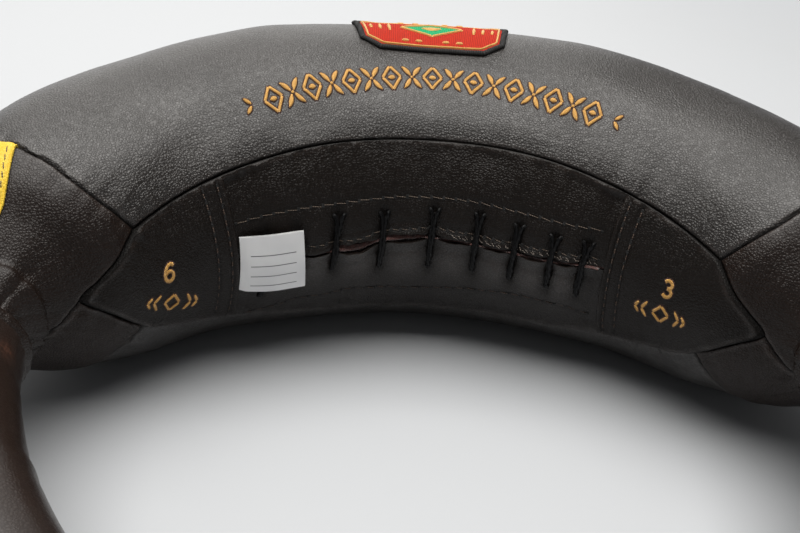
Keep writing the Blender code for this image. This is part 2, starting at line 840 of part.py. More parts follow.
def build_pouch(name, middle, half):
    """Cloth pouch of sand with rounded ends."""
    rings = []
    for share in [-share for share in POUCH_RING_SHARES[:0:-1]] + list(POUCH_RING_SHARES):
        run = middle + half * share
        into_end = max(0.0, abs(share) * half - (half - POUCH_END)) / POUCH_END
        radius = POUCH_RADIUS * (1 - into_end**POUCH_CURVE) ** (1 / POUCH_CURVE)
        depth = tube_radius(run) - radius
        rings.append([skin_point(run, angle, depth) for angle in ring_angles(16)])
    ends = [axis_point(middle + half * share) for share in (-1.0, 1.0)]
    add_solid(name, rings, ends, SAND_CLOTH, 0.9)


def build_pouches():
    """Three pouches end to end in the wool."""
    half = WOOL_END_RUN / POUCH_COUNT - POUCH_GAP / 2
    pitch = 2 * half + POUCH_GAP
    for name, place in (("left", -1), ("middle", 0), ("right", 1)):
        build_pouch(name + "_sand_pouch", place * pitch, half)


def main():
    """Clear the scene and build every piece."""
    for item in list(bpy.data.objects):
        bpy.data.objects.remove(item)
    build_top_and_bottom()
    build_flap("closure_upper_flap", 1)
    build_flap("closure_lower_flap", -1)
    build_facing()
    build_lace()
    build_label()
    build_patch()
    build_wool()
    build_pouches()
    for word, side in (("left", -1), ("right", 1)):
        build_end_panel(word + "_end_panel", side)
        build_horn(word + "_horn", side)
        build_accent_strip(word + "_accent_strip", side)
        build_collar(word + "_neck_collar", side)
        build_neck_tie(word + "_neck_tie", side)
        build_horn_filling(word + "_horn_filling", side)
        build_sleeve(word + "_handle_sleeve", side)
        build_cap(word + "_handle_cap", side)
        build_core(word + "_handle_core", side)


main()
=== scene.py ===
import functools
import json
import math

import bpy
import numpy as np
from mathutils import Matrix, Vector
from mathutils.bvhtree import BVHTree

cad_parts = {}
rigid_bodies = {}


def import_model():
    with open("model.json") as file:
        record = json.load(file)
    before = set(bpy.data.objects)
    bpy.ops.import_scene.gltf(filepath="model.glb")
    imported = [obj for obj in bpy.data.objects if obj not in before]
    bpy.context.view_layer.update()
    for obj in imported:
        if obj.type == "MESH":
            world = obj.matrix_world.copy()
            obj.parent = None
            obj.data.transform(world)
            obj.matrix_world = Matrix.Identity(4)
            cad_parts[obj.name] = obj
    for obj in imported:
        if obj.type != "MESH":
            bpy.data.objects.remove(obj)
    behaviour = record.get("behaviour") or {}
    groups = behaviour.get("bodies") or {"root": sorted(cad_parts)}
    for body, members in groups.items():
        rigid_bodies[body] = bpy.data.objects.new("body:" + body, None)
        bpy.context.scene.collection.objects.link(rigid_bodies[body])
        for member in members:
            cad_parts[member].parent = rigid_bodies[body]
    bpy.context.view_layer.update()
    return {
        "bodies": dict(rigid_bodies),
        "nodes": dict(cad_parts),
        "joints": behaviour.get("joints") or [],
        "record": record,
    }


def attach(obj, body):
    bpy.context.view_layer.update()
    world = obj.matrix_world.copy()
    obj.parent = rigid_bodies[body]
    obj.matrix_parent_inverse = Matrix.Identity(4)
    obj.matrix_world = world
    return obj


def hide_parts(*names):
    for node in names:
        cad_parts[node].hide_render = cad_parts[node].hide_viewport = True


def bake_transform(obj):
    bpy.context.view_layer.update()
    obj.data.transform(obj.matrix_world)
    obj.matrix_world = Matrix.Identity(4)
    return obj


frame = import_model()
bpy.ops.object.select_all(action="DESELECT")
print("frame loaded")

# A place on the bag is its run, the way along the tube from the middle of the back
# (right is positive), and its angle round the tube: 0 inside, 90 on the crown, 180 outside.
bag = {
    # by run: radius of the tube, bend of its centre line (one over the bend's radius), collar
    "radius": [(0, .065), (.061, .0665), (.122, .060), (.196, .0497), (.245, .0198),
               (.3978, .0198)],
    "bend": [(0, 5.0), (.0715, 5.0), (.143, 1 / .136), (.2145, 1 / .101),
             (.286, 1 / .230), (.3978, 1 / .230)],
    "collar": [(.234, .0263), (.2475, .0175), (.2565, .0245), (.2625, .0217)],
    # the resting shape: crown height in radii, depth pressed flat, runs where that ends
    "crown": 1.057, "flat": .004, "rest": .142, "lift": .195, "droop": .010, "soft": .0006,
    "horn": .196, "neck": .245, "hornEnd": .234, "collarEnd": .2625, "end": .3978,
    "hinge": .2505, "middleY": -.10916,
    # the seams
    "backSeam": 38.0, "cornerSeam": 24.6, "corner": .182, "tip": .2175, "mainSeam": .196,
    "tipCurve": 1.7, "mainCurve": .226, "twist": 35.0,
}


bothSides = (("left", -1), ("right", 1))


def curveThrough(stations, x):
    xs, ys = (np.array(column, float) for column in zip(*stations))
    rise = np.diff(ys) / np.diff(xs)
    slope = np.zeros(len(xs))
    both = rise[:-1] * rise[1:] > 0
    slope[1:-1][both] = (2 * rise[:-1] * rise[1:])[both] / (rise[:-1] + rise[1:])[both]
    x = np.clip(x, xs[0], xs[-1])
    i = np.clip(np.searchsorted(xs, x, side="right") - 1, 0, len(xs) - 2)
    span = xs[i + 1] - xs[i]
    t = (x - xs[i]) / span
    return (ys[i] * (2 * t**3 - 3 * t**2 + 1) + slope[i] * span * (t**3 - 2 * t**2 + t)
            + ys[i + 1] * (3 * t**2 - 2 * t**3) + slope[i + 1] * span * (t**3 - t**2))


def ease(t):
    t = np.clip(t, 0, 1)
    return t * t * (3 - 2 * t)


def hill(away, wide):
    return np.exp(-(away / wide) ** 2)


def centreLine():
    step = bag["end"] / 400
    bends = curveThrough(bag["bend"], (np.arange(400) + .5) * step) * step
    heading = np.concatenate([[0], np.cumsum(bends)])
    middle = heading[:-1] + bends / 2
    x = np.concatenate([[0], np.cumsum(np.cos(middle) * step)])
    y = np.concatenate([[0], -np.cumsum(np.sin(middle) * step)])
    return np.linspace(0, bag["end"], 401), heading, x, y


line = centreLine()


def ring(run, angle, level, up, low):
    run, angle = np.asarray(run, float), np.asarray(angle, float)
    along = np.abs(run)
    heading, x, y = (np.interp(along, line[0], values) for values in line[1:])
    turn = np.radians(angle)
    reach = level * np.cos(turn)
    rise = np.where(np.sin(turn) > 0, up, low) * np.sin(turn)
    height = bag["crown"] * bag["radius"][0][1] - bag["flat"]
    pastNeck = np.maximum(0, along - bag["neck"]) / (bag["end"] - bag["neck"])
    z = height - bag["droop"] * pastNeck**2 + rise
    side = np.where(run < 0, -1.0, 1.0)
    return np.stack(np.broadcast_arrays(
        side * (x - reach * np.sin(heading)), y - reach * np.cos(heading) - bag["middleY"], z), -1)


def place(run, angle, out=0.0):
    along = np.abs(np.asarray(run, float))
    level = curveThrough(bag["radius"], along)
    roundAgain = ease((along - bag["horn"]) / (bag["neck"] - bag["horn"]))
    up = level * (bag["crown"] + (1 - bag["crown"]) * roundAgain)
    flat = bag["flat"] * (1 - np.minimum(1, along / bag["rest"]) ** 2)
    resting = bag["crown"] * bag["radius"][0][1] - bag["flat"] + flat
    low = resting + (up - resting) * ease((along - bag["rest"]) / (bag["lift"] - bag["rest"]))
    points = ring(run, angle, level + out, up + out, low + out)
    floor = np.maximum(0, -np.asarray(out))
    lifted = floor + bag["soft"] * np.logaddexp(0, (points[..., 2] - floor) / bag["soft"])
    points[..., 2] = np.where(along < bag["lift"], lifted, points[..., 2])
    return points


def placeRound(run, angle, radius):
    return ring(run, angle, radius, radius, radius)


def seamAngle(run):
    share = np.minimum(1, np.abs(run) / bag["corner"])
    return bag["backSeam"] - (bag["backSeam"] - bag["cornerSeam"]) * share**2


def crownAngle(run, share):
    return seamAngle(run) + (180 - seamAngle(run)) * share


def mainSeamRun(share):
    past = np.minimum(1, share / bag["mainCurve"])
    return bag["corner"] + (bag["mainSeam"] - bag["corner"]) * (1 - (1 - past) ** 2)


def tipSeamRun(share):
    return bag["tip"] - (bag["tip"] - bag["corner"]) * np.abs(share) ** bag["tipCurve"]


def hornTwist(run):
    return -bag["twist"] * np.clip((np.abs(run) - bag["tip"]) / (bag["hornEnd"] - bag["tip"]), 0, 1)


def pastHorn(along):
    # 0 on the horn, 1 on the round collar
    return ease((along - bag["hornEnd"] + .004) / .006)


def softNoise(points, size, seed):
    # smooth random heights from -1 to 1 at points in metres, with lumps of about that size
    table = np.random.RandomState(seed).uniform(-1, 1, (37, 37, 37))
    scaled = np.asarray(points) / size + 500
    cell = np.floor(scaled).astype(int)
    part = scaled - cell
    part = part * part * (3 - 2 * part)
    total = 0
    for corner in range(8):
        pick = [(corner >> axis) & 1 for axis in range(3)]
        weight = 1
        for axis in range(3):
            weight = weight * (part[..., axis] if pick[axis] else 1 - part[..., axis])
        index = [(cell[..., axis] + pick[axis]) % 37 for axis in range(3)]
        total = total + weight * table[index[0], index[1], index[2]]
    return total


class Value:
    # a socket that takes part in Python sums
    def __init__(self, nodes, socket):
        self.nodes, self.socket = nodes, socket

    def sum(self, kind, first, second):
        return self.nodes("ShaderNodeMath", {"operation": kind}, {0: first, 1: second})

    def __add__(self, other): return self.sum("ADD", self, other)
    def __sub__(self, other): return self.sum("SUBTRACT", self, other)
    def __mul__(self, other): return self.sum("MULTIPLY", self, other)
    def most(self, other): return self.sum("MAXIMUM", self, other)
    def least(self, other): return self.sum("MINIMUM", self, other)


class Nodes:
    def __init__(self, made):
        made.use_nodes = True
        self.tree = made.node_tree

    def node(self, kind, settings=None, sockets=None, out=0):
        made = self.tree.nodes.new(kind)
        for name, value in (settings or {}).items():
            setattr(made, name, value)
        for name, value in (sockets or {}).items():
            if isinstance(value, Value):
                self.tree.links.new(value.socket, made.inputs[name])
            else:
                made.inputs[name].default_value = value
        return Value(self.node, made.outputs[out])

    def ends(self, output, value):
        self.tree.links.new(value.socket, self.tree.nodes[output].inputs["Surface"])

    def seenBy(self, *rays):
        seen = [self.node("ShaderNodeLightPath", out="Is %s Ray" % ray) for ray in rays]
        return functools.reduce(Value.most, seen)


class Finish(Nodes):
    def __init__(self, name, **fixed):
        self.material = bpy.data.materials.new(name)
        super().__init__(self.material)
        self.shader = self.tree.nodes["Principled BSDF"]
        for socket, value in fixed.items():
            self.shader.inputs[socket.replace("_", " ")].default_value = value

    def feed(self, **links):
        for name, value in links.items():
            self.tree.links.new(value.socket, self.shader.inputs[name.replace("_", " ")])

    def spot(self):
        return self.node("ShaderNodeTexCoord", out="Object")

    def uv(self):
        return self.node("ShaderNodeTexCoord", out="UV")

    def noise(self, at, scale, detail=2.0, rough=.5):
        return self.node("ShaderNodeTexNoise", {}, {
            "Vector": at, "Scale": scale, "Detail": detail, "Roughness": rough})

    def jittered(self, scale, detail, amount):
        # places shifted a little every way, so that no pattern looks ruled
        drift = self.node("ShaderNodeTexNoise", {}, {
            "Vector": self.spot(), "Scale": scale, "Detail": detail}, "Color")
        return self.node("ShaderNodeVectorMath", {"operation": "MULTIPLY_ADD"}, {
            0: drift, 1: (amount, amount, amount), 2: self.spot()})

    def cells(self, at, scale, feature="F1"):
        return self.node("ShaderNodeTexVoronoi", {"feature": feature}, {
            "Vector": at, "Scale": scale}, "Distance")

    def bands(self, at, scale, direction="X", **sockets):
        sockets = {name.replace("_", " "): value for name, value in sockets.items()}
        settings = {"wave_type": "BANDS", "bands_direction": direction}
        sockets.update(Vector=at, Scale=scale)
        return self.node("ShaderNodeTexWave", settings, sockets, "Fac")

    def between(self, value, low, high, first=0.0, last=1.0):
        return self.node("ShaderNodeMapRange", {"clamp": True}, {
            "Value": value, "From Min": low, "From Max": high, "To Min": first, "To Max": last})

    def blend(self, factor, first, second):
        first, second = ((*c, 1) if isinstance(c, tuple) else c for c in (first, second))
        return self.node("ShaderNodeMix", {"data_type": "RGBA"}, {
            0: factor, 6: first, 7: second}, 2)

    def painted(self, name):
        return self.node("ShaderNodeAttribute", {"attribute_name": name}, out="Fac")

    def bump(self, height, depth):
        return self.node("ShaderNodeBump", {}, {"Height": height, "Distance": depth})


def leather(name, colour, litAndWornColour, dark, grain, gloss, shine):
    # nappa: shallow pebbles with fine creases between them, painted shade in those creases and in
    # the seams, rubbed and polished where it is handled, the rubbed colour also serving as a
    # painted highlight on seam rims and puffs; its scales are pebbles, lumps and clouds per metre
    f = Finish(name, Specular_IOR_Level=shine, Coat_Roughness=gloss, Coat_IOR=1.5)
    shifted = f.jittered(420.0, 1.0, .0012)
    pebble = f.between(f.cells(shifted, 980, "DISTANCE_TO_EDGE"), 0, .3)
    dome = f.between(f.cells(shifted, 980), 0, .75, 1, 0)
    fine = f.noise(f.spot(), 2600, 2, .6)
    depthHere = f.between(f.noise(f.spot(), 38, 1), .3, .7, .7, 1.0)
    height = (pebble * .45 + dome * .75) * depthHere + fine * .22
    broad = f.noise(f.spot(), 26, 3, .55)
    litAndRubbed = f.painted("litAndRubbed")
    paintedShade = f.painted("paintedShade")
    base = f.blend(f.between(broad, .3, .7), colour, tuple(c * .8 for c in colour))
    # painted shade: the creases between pebbles take the darker seam colour
    base = f.blend(f.between(pebble, 0, .5, .4, 0), base, dark)
    scratched = f.between(f.noise(f.spot(), 700, 3, .7), .35, .7)
    # worn colour: partly real wear, partly a painted highlight on seam rims and on the puffs
    # between laces
    base = f.blend((litAndRubbed * scratched).least(1.0), base, litAndWornColour)
    # painted shade in the seams, along stitch rows and beside the laces
    base = f.blend(paintedShade, base, dark)
    rough = f.between(broad, .3, .7, gloss - .02, gloss + .03)
    rough = rough + pebble * -.04 + litAndRubbed * -.05 + paintedShade * .3
    polish = f.painted("polish") * f.between(pebble, 0, .9, .35, 1.0)
    f.feed(Base_Color=base, Roughness=rough, Coat_Weight=polish, Normal=f.bump(height, grain))
    return f.material


def thread(name, colour, dark, sheen, ribs, gloss=.45):
    # satin stitch or plied thread: ribs along V of its own UV, in metres; the grooves between ribs
    # take the darker colour as painted shade
    f = Finish(name, Sheen_Weight=sheen, Sheen_Roughness=.4)
    wave = f.bands(f.uv(), ribs, Distortion=1.2, Detail=1.0, Detail_Scale=2.0)
    fluff = f.noise(f.spot(), 1500, 2)
    # painted shade in the grooves between ribs
    tone = f.blend(f.between(wave, .1, .7), dark, colour)
    tone = f.blend(f.between(fluff, .3, .8, 0, .5), tone, dark)
    f.feed(Base_Color=tone, Roughness=f.between(wave, 0, 1, gloss + .2, gloss),
           Normal=f.bump(wave + fluff * .4, .00022))
    return f.material


def cloth(name, colour, dark, pitch, depth=.00015, gloss=.7, sheen=.2):
    f = Finish(name, Sheen_Weight=sheen, Specular_IOR_Level=.25)
    at = f.spot()
    rows = [f.bands(at, pitch, axis, Distortion=.6, Detail=1.0) for axis in ("X", "Y")]
    weave = rows[0].most(rows[1])
    fibre = f.noise(at, 900, 3, .6)
    tone = f.blend(f.between(weave * .6 + fibre * .6, .2, .9), dark, colour)
    f.feed(Base_Color=tone, Roughness=f.between(fibre, .3, .7, gloss, gloss + .12),
           Normal=f.bump(weave + fibre, depth))
    return f.material


def waxedCord():
    f = Finish("waxedCord", Specular_IOR_Level=.15)
    twist = f.bands(f.uv(), 190.0, "DIAGONAL", Distortion=.5)
    fluff = f.noise(f.spot(), 1800, 3, .7)
    tone = f.blend(f.between(fluff, .4, .8), (.0022, .0022, .0026), (.010, .0098, .0105))
    f.feed(Base_Color=tone, Roughness=f.between(twist, 0, 1, .58, .36),
           Normal=f.bump(twist + fluff * .6, .00025))
    return f.material


def satin():
    # white woven ribbon with a selvedge on its own UV
    f = Finish("whiteSatin", Sheen_Weight=.25, Specular_IOR_Level=.5)
    rows = f.bands(f.uv(), 900.0, Distortion=.3)
    cloud = f.noise(f.spot(), 90, 2)
    tone = f.blend(f.between(cloud, .3, .7), (.87, .87, .87), (.80, .80, .81))
    tone = f.blend(f.between(rows, 0, 1, .06, 0), tone, (.5, .5, .52))
    # ruled lines for the owner to write on, printed on the front layer
    across, down = (f.node("ShaderNodeSeparateXYZ", {}, {"Vector": f.uv()}, axis) for axis in "XY")
    toLine = f.node("ShaderNodeMath", {"operation": "PINGPONG"}, {0: down - .0036, 1: .0025})
    ruled = f.between(toLine, .00012, .00026, 1, 0)
    for way, start, stop in ((across, .0035, .0230), (down, .0050, .0252)):
        ruled = ruled * f.between(way, start, start + .0002)
        ruled = ruled * f.between(way, stop - .0002, stop, 1, 0)
    tone = f.blend(ruled, tone, (.05, .05, .055))
    f.feed(Base_Color=tone, Roughness=f.between(rows, 0, 1, .42, .34),
           Normal=f.bump(rows + cloud * 4, .00006))
    return f.material


def wool(name, colour, dark):
    f = Finish(name, Sheen_Weight=.5)
    tangle = f.noise(f.jittered(60.0, 3.0, .02), 260, 5, .75)
    tone = f.blend(f.between(tangle, .3, .7), dark, colour)
    f.feed(Base_Color=tone, Roughness=f.between(tangle, .3, .7, .95, .85),
           Normal=f.bump(tangle, .002))
    return f.material


# leathers: colour, colour where it is worn and where it carries a painted highlight, colour of the
# painted shade in its seams and creases; depth of its grain, roughness, shine
crownLeather = leather("crownLeather", (.0142, .0108, .0090), (.050, .029, .021),
                       (.003, .0023, .002), .00032, .40, .43)
hornLeather = leather("hornLeather", (.0142, .0086, .0066), (.050, .027, .018),
                      (.003, .0022, .0018), .00024, .38, .21)
# the same leather painted darker as painted shade, and less shiny, for the underside, the end
# panels and the flaps
shadedInnerLeather = leather("shadedInnerLeather", (.0088, .0062, .0049), (.042, .025, .018),
                       (.002, .0016, .0014), .00022, .38, .17)
gripLeather = leather("gripLeather", (.0185, .0106, .0078), (.090, .040, .026),
                      (.004, .0028, .0024), .00006, .33, .28)
yellowLeather = leather("yellowLeather", (.82, .57, .048), (.86, .65, .13),
                        (.46, .24, .02), .00016, .50, .24)
suede = wool("suedeSide", (.13, .043, .033), (.055, .018, .014))
goldThread = thread("goldThread", (.92, .55, .15), (.46, .20, .035), .1, 620, .34)
outlineThread = thread("outlineThread", (.050, .014, .007), (.020, .006, .004), .05, 430, .6)
tanThread = thread("tanThread", (.165, .125, .095), (.065, .046, .034), .05, 300, .55)
brownThread = thread("brownThread", (.105, .064, .044), (.036, .021, .014), .05, 300, .6)
greyThread = thread("greyThread", (.24, .20, .17), (.06, .048, .040), .1, 300, .5)
blackThread = thread("blackThread", (.0045, .004, .004), (.002, .002, .002), 0, 300, .7)
redCloth = cloth("redEmbroidery", (.44, .022, .007), (.14, .006, .003), 330, .00025, .85, 0)
greenCloth = cloth("greenEmbroidery", (.020, .36, .14), (.006, .12, .042), 330, .00025, .85, 0)
whiteSatin = satin()
cordWax = waxedCord()
rawWool = wool("rawWool", (.62, .58, .50), (.40, .36, .30))
sandCloth = cloth("sandCotton", (.45, .38, .28), (.28, .23, .16), 260, .0003)
tieTwine = thread("tieTwine", (.60, .56, .48), (.34, .30, .24), .2, 220, .7)
print("materials made")


def current(name):
    piece = bpy.context.object
    piece.name = piece.data.name = name
    return piece


def only(piece):
    bpy.ops.object.select_all(action="DESELECT")
    bpy.context.view_layer.objects.active = piece
    piece.select_set(True)


def applied(piece, kind, name, **settings):
    only(piece)
    made = piece.modifiers.new(name, kind)
    for key, value in settings.items():
        setattr(made, key, value)
    bpy.ops.object.modifier_apply(modifier=made.name)


def thicken(piece, thickness, offset=-1):
    applied(piece, "SOLIDIFY", "thickness", thickness=thickness, offset=offset)


def finishPiece(piece, material, body, replaced=(), smooth=40):
    piece.data.materials.clear()
    piece.data.materials.append(material)
    only(piece)
    bpy.ops.object.shade_smooth_by_angle(angle=math.radians(smooth))
    piece.select_set(False)
    if replaced:
        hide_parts(*replaced)
    if body:
        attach(piece, body)
    return piece


def sheetGrid(name, along, across):
    # flat grid primitive; its corners become 0..1 along and across
    bpy.ops.mesh.primitive_grid_add(x_subdivisions=along, y_subdivisions=across, size=1)
    piece = current(name)
    flat = np.empty(len(piece.data.vertices) * 3)
    piece.data.vertices.foreach_get("co", flat)
    u, v, z = flat.reshape(-1, 3).T
    return piece, u + .5, v + .5


def setFlatMap(mesh, layer, flat):
    corners = np.empty(len(mesh.loops), int)
    mesh.loops.foreach_get("vertex_index", corners)
    layer.data.foreach_set("uv", np.asarray(flat, float)[corners].ravel())


def shape(piece, points, flat=None):
    mesh = piece.data
    mesh.vertices.foreach_set("co", np.ascontiguousarray(points, dtype=float).ravel())
    if flat is not None:
        setFlatMap(mesh, mesh.uv_layers[0], flat)
    mesh.update()
    return piece


def freshMesh(name, points, faces, flat):
    # the given mesh, in place of a small primitive's own
    bpy.ops.mesh.primitive_grid_add(x_subdivisions=1, y_subdivisions=1, size=.001)
    piece = current(name)
    mesh = piece.data
    mesh.clear_geometry()
    mesh.from_pydata(points, [], faces)
    setFlatMap(mesh, mesh.uv_layers.new(name="UVMap"), flat)
    mesh.update()
    return piece


def faceOut(piece, run, angle):
    # turns the faces of an open sheet away from the middle of the tube
    inside = placeRound(run, angle, 0.0)
    total = sum((face.center - Vector(inside[face.vertices[0]])).dot(face.normal)
                for face in piece.data.polygons)
    if total < 0:
        piece.data.flip_normals()


def pointsOf(piece):
    flat = np.empty(len(piece.data.vertices) * 3)
    piece.data.vertices.foreach_get("co", flat)
    return flat.reshape(-1, 3)


def paint(piece, name, values):
    layer = piece.data.attributes.new(name, "FLOAT", "POINT")
    layer.data.foreach_set("value", np.asarray(values, np.float32))


def packed(t, pull):
    # more lines near both edges of a sheet
    return t - pull * np.sin(2 * np.pi * t) / (2 * np.pi)


def meshFrom(name, grids, flats, wrap=False):
    # one piece from several grids of points, each with its own flat map
    points, faces, flat = [], [], []
    for grid, flatMap in zip(grids, flats):
        rows, columns = grid.shape[:2]
        start = len(points)
        points.extend(grid.reshape(-1, 3).tolist())
        flat.extend(flatMap.reshape(-1, 2).tolist())
        for r in range(rows - 1):
            near, far = start + r * columns, start + (r + 1) * columns
            for c in range(columns if wrap else columns - 1):
                d = (c + 1) % columns
                faces.append((near + c, near + d, far + d, far + c))
        if wrap:
            faces.append(tuple(start + c for c in reversed(range(columns))))
            faces.append(tuple(start + (rows - 1) * columns + c for c in range(columns)))
    return freshMesh(name, points, faces, flat)


def outwards(piece):
    only(piece)
    bpy.ops.object.mode_set(mode="EDIT")
    bpy.ops.mesh.select_all(action="SELECT")
    bpy.ops.mesh.normals_make_consistent(inside=False)
    bpy.ops.object.mode_set(mode="OBJECT")


def along(points):
    return np.concatenate([[0], np.cumsum(np.linalg.norm(np.diff(points, axis=0), axis=1))])


def evenly(points, count):
    at = along(points)
    even = np.linspace(0, at[-1], count)
    return np.stack([np.interp(even, at, points[:, axis]) for axis in range(points.shape[1])], 1)


def smoothed(points, count):
    # even points on a smooth curve through the given ones
    points = np.asarray(points, float)
    padded = np.vstack([2 * points[0] - points[1], points, 2 * points[-1] - points[-2]])
    fine = []
    for a, b, c, d in zip(padded, padded[1:], padded[2:], padded[3:]):
        for t in np.linspace(0, 1, 12, endpoint=False):
            fine.append(.5 * (2 * b + (c - a) * t + (2 * a - 5 * b + 4 * c - d) * t**2
                              + (3 * b - a - 3 * c + d) * t**3))
    return evenly(np.array(fine + [points[-1]]), count)


skinPoints, skinFaces = [], []


def keepSkin(piece):
    # remembers an outer sheet, so that stitches and trims can be laid on it
    start = len(skinPoints)
    skinPoints.extend(pointsOf(piece).tolist())
    skinFaces.extend([start + i for i in face.vertices] for face in piece.data.polygons)


def nearLine(points, route):
    # distance from each point to a dense line, and the nearest place on that line
    best = np.full(len(points), 1e9)
    where = np.zeros((len(points), 3))
    start, end = route[:-1], route[1:]
    span = end - start
    length = np.maximum((span**2).sum(1), 1e-16)
    for low in range(0, len(points), 1500):
        part = points[low:low + 1500]
        rough = ((part[:, None, :] - route[None, ::6, :]) ** 2).sum(2).argmin(1) * 6
        for shift in range(-7, 8):
            i = np.clip(rough + shift, 0, len(span) - 1)
            t = np.clip(((part - start[i]) * span[i]).sum(1) / length[i], 0, 1)
            spot = start[i] + span[i] * t[:, None]
            gap = np.sqrt(((part - spot) ** 2).sum(1))
            closer = gap < best[low:low + 1500]
            best[low:low + 1500][closer] = gap[closer]
            where[low:low + 1500][closer] = spot[closer]
    return best, where


shares = np.linspace(0, 1, 500)
bothWays = np.linspace(-1, 1, 1200)


def seamRoutes():
    routes = {}
    runs = bothWays * bag["corner"]
    for name, up in (("topInner", 1), ("lowInner", -1)):
        routes[name] = place(runs, up * seamAngle(runs))
    routes["outer"] = place(bothWays * bag["mainSeam"], 180)
    for word, side in bothSides:
        near = mainSeamRun(shares)
        for way, up in (("top", 1), ("low", -1)):
            routes[way + word] = place(side * near, up * crownAngle(near, shares))
        tip = tipSeamRun(bothWays)
        routes["tip" + word] = place(side * tip, bothWays * seamAngle(tip))
        neck = bag["tip"] + (bag["hornEnd"] - bag["tip"]) * shares
        routes["horn" + word] = place(side * neck, hornTwist(neck))
    return routes


routes = seamRoutes()
seam = {
    "fold": .0018,       # radius of the turned edge
    "sink": .0011,       # how far the leather is drawn in beside the seam
    "sinkReach": .0085,
    "pucker": .0010,     # little folds square to the seam
    "puckerReach": .0085,
    "puckerSize": .0042,
    "puckerRise": .0015,
    "patches": .045,     # size of the stretches that pucker more than others
    "flange": .0046,     # depth of the sewn edge under the skin
}
welt = dict(seam, fold=.0009, sink=.0001, sinkReach=.004,
            pucker=.0014, puckerReach=.0048, puckerSize=.0044)


def seamRelief(points, names, look=seam):
    # height above the plain skin, and how near the closest seam is
    nearest = np.full(len(points), 1e9)
    out = np.zeros(len(points))
    size = look["puckerSize"]
    for name in names:
        gap, spot = nearLine(points, routes[name])
        nearest = np.minimum(nearest, gap)
        gather = softNoise(spot, size, 11) + .5 * softNoise(spot, size * .45, 12)
        strength = .35 + .65 * np.clip(softNoise(spot, look["patches"], 13) + .5, 0, 1)
        rising = np.clip(gap / look["puckerRise"], 0, 1)
        out += look["pucker"] * gather * strength * np.exp(-gap / look["puckerReach"]) * rising
        out -= look["sink"] * np.exp(-gap / look["sinkReach"])
    out -= turnedEdge(nearest, look["fold"])
    out = np.where(nearest < .0001, np.minimum(out, -look["flange"]), out)
    return out, nearest


def turnedEdge(gap, radius):
    # depth of a round edge at a distance from it
    turned = np.clip(radius - gap, 0, radius)
    return radius - np.sqrt(np.maximum(0, radius**2 - turned**2))


skinTest = {
    "along": 176, "around": 104, "reach": .2600, "frames": 14,
    "slit": [(-.13, -2.0), (0, 3.0), (.13, 2.0)], "slitEnd": .115,
    "held": .0034,       # how far the hold of a seam reaches
    "slitRadius": .0011, "slitHold": .0008, "endHold": .004,
    "broad": .9,         # share of the broad swelling taken off, since the plain shape has it
    "most": .0009, "shown": .55,
    "cloth": {
        "quality": 6, "mass": .25, "tension_stiffness": 18, "compression_stiffness": 18,
        "shear_stiffness": 9, "bending_stiffness": 3, "air_damping": 2, "pin_stiffness": 1,
        "use_pressure": True, "uniform_pressure_force": 4.0,
        "shrink_min": -.010,     # the hide is cut a little too large, so it puckers at its seams
    },
}


def blurred(heights, rounds, middle):
    # evened out round the tube and along it, with this weight on each height's own place
    for again in range(rounds):
        sides = np.roll(heights, 1, 1) + np.roll(heights, -1, 1)
        heights = (middle * heights + sides) / (middle + 2)
        heights[1:-1] = (heights[2:] + middle * heights[1:-1] + heights[:-2]) / (middle + 2)
    return heights


def filledSkin():
    # cloth run of the whole skin, filled and held at its seams, kept as heights over its shape
    runs = np.linspace(-skinTest["reach"], skinTest["reach"], skinTest["along"])
    angles = np.linspace(0, 360, skinTest["around"], endpoint=False)
    run, angle = np.meshgrid(runs, angles, indexing="ij")
    body, neck = place(run, angle), placeRound(run, angle, curveThrough(bag["collar"], np.abs(run)))
    points = body + (neck - body) * pastHorn(np.abs(run))[..., None]
    piece = meshFrom("skinTest", [points], [np.stack([run, angle], -1)], wrap=True)
    outwards(piece)
    flat = points.reshape(-1, 3)
    gap = np.full(len(flat), 1e9)
    for name in routes:
        gap = np.minimum(gap, nearLine(flat, routes[name])[0])
    slitGap = np.abs(angle - curveThrough(skinTest["slit"], run)).ravel() * skinTest["slitRadius"]
    slitGap = np.minimum(gap, slitGap + skinTest["slitHold"])
    gap = np.where(np.abs(run.ravel()) < skinTest["slitEnd"], slitGap, gap)
    atEnd = np.abs(run.ravel()) > skinTest["reach"] - skinTest["endHold"]
    hold = np.clip(hill(gap, skinTest["held"]) + atEnd, 0, 1)
    group = piece.vertex_groups.new(name="held")
    for i, weight in enumerate(hold):
        group.add([i], float(weight), "REPLACE")
    before = pointsOf(piece).copy()
    ways = np.empty(before.size)
    piece.data.vertices.foreach_get("normal", ways)
    soft = piece.modifiers.new("Cloth", "CLOTH")
    for key, value in skinTest["cloth"].items():
        setattr(soft.settings, key, value)
    soft.settings.vertex_group_mass = "held"
    soft.settings.effector_weights.gravity = 0
    soft.collision_settings.use_collision = False
    soft.point_cache.frame_start, soft.point_cache.frame_end = 1, skinTest["frames"]
    scene = bpy.context.scene
    for frame in range(1, skinTest["frames"] + 1):
        scene.frame_set(frame)
    after = np.empty(before.size)
    moved = piece.evaluated_get(bpy.context.evaluated_depsgraph_get())
    moved.data.vertices.foreach_get("co", after)
    scene.frame_set(1)
    heights = ((after.reshape(-1, 3) - before) * ways.reshape(-1, 3)).sum(1).reshape(run.shape)
    bpy.data.objects.remove(piece)
    broad = blurred(heights, 10, 1)
    print("cloth run: folds %.2f mm, swelling %.2f mm" % (
        np.abs(heights - broad).max() * 1000, heights.max() * 1000))
    folds = np.clip(heights - skinTest["broad"] * broad, -skinTest["most"], skinTest["most"])
    return blurred(folds * skinTest["shown"], 2, 2)


skinFolds = filledSkin()
print("cloth run done")


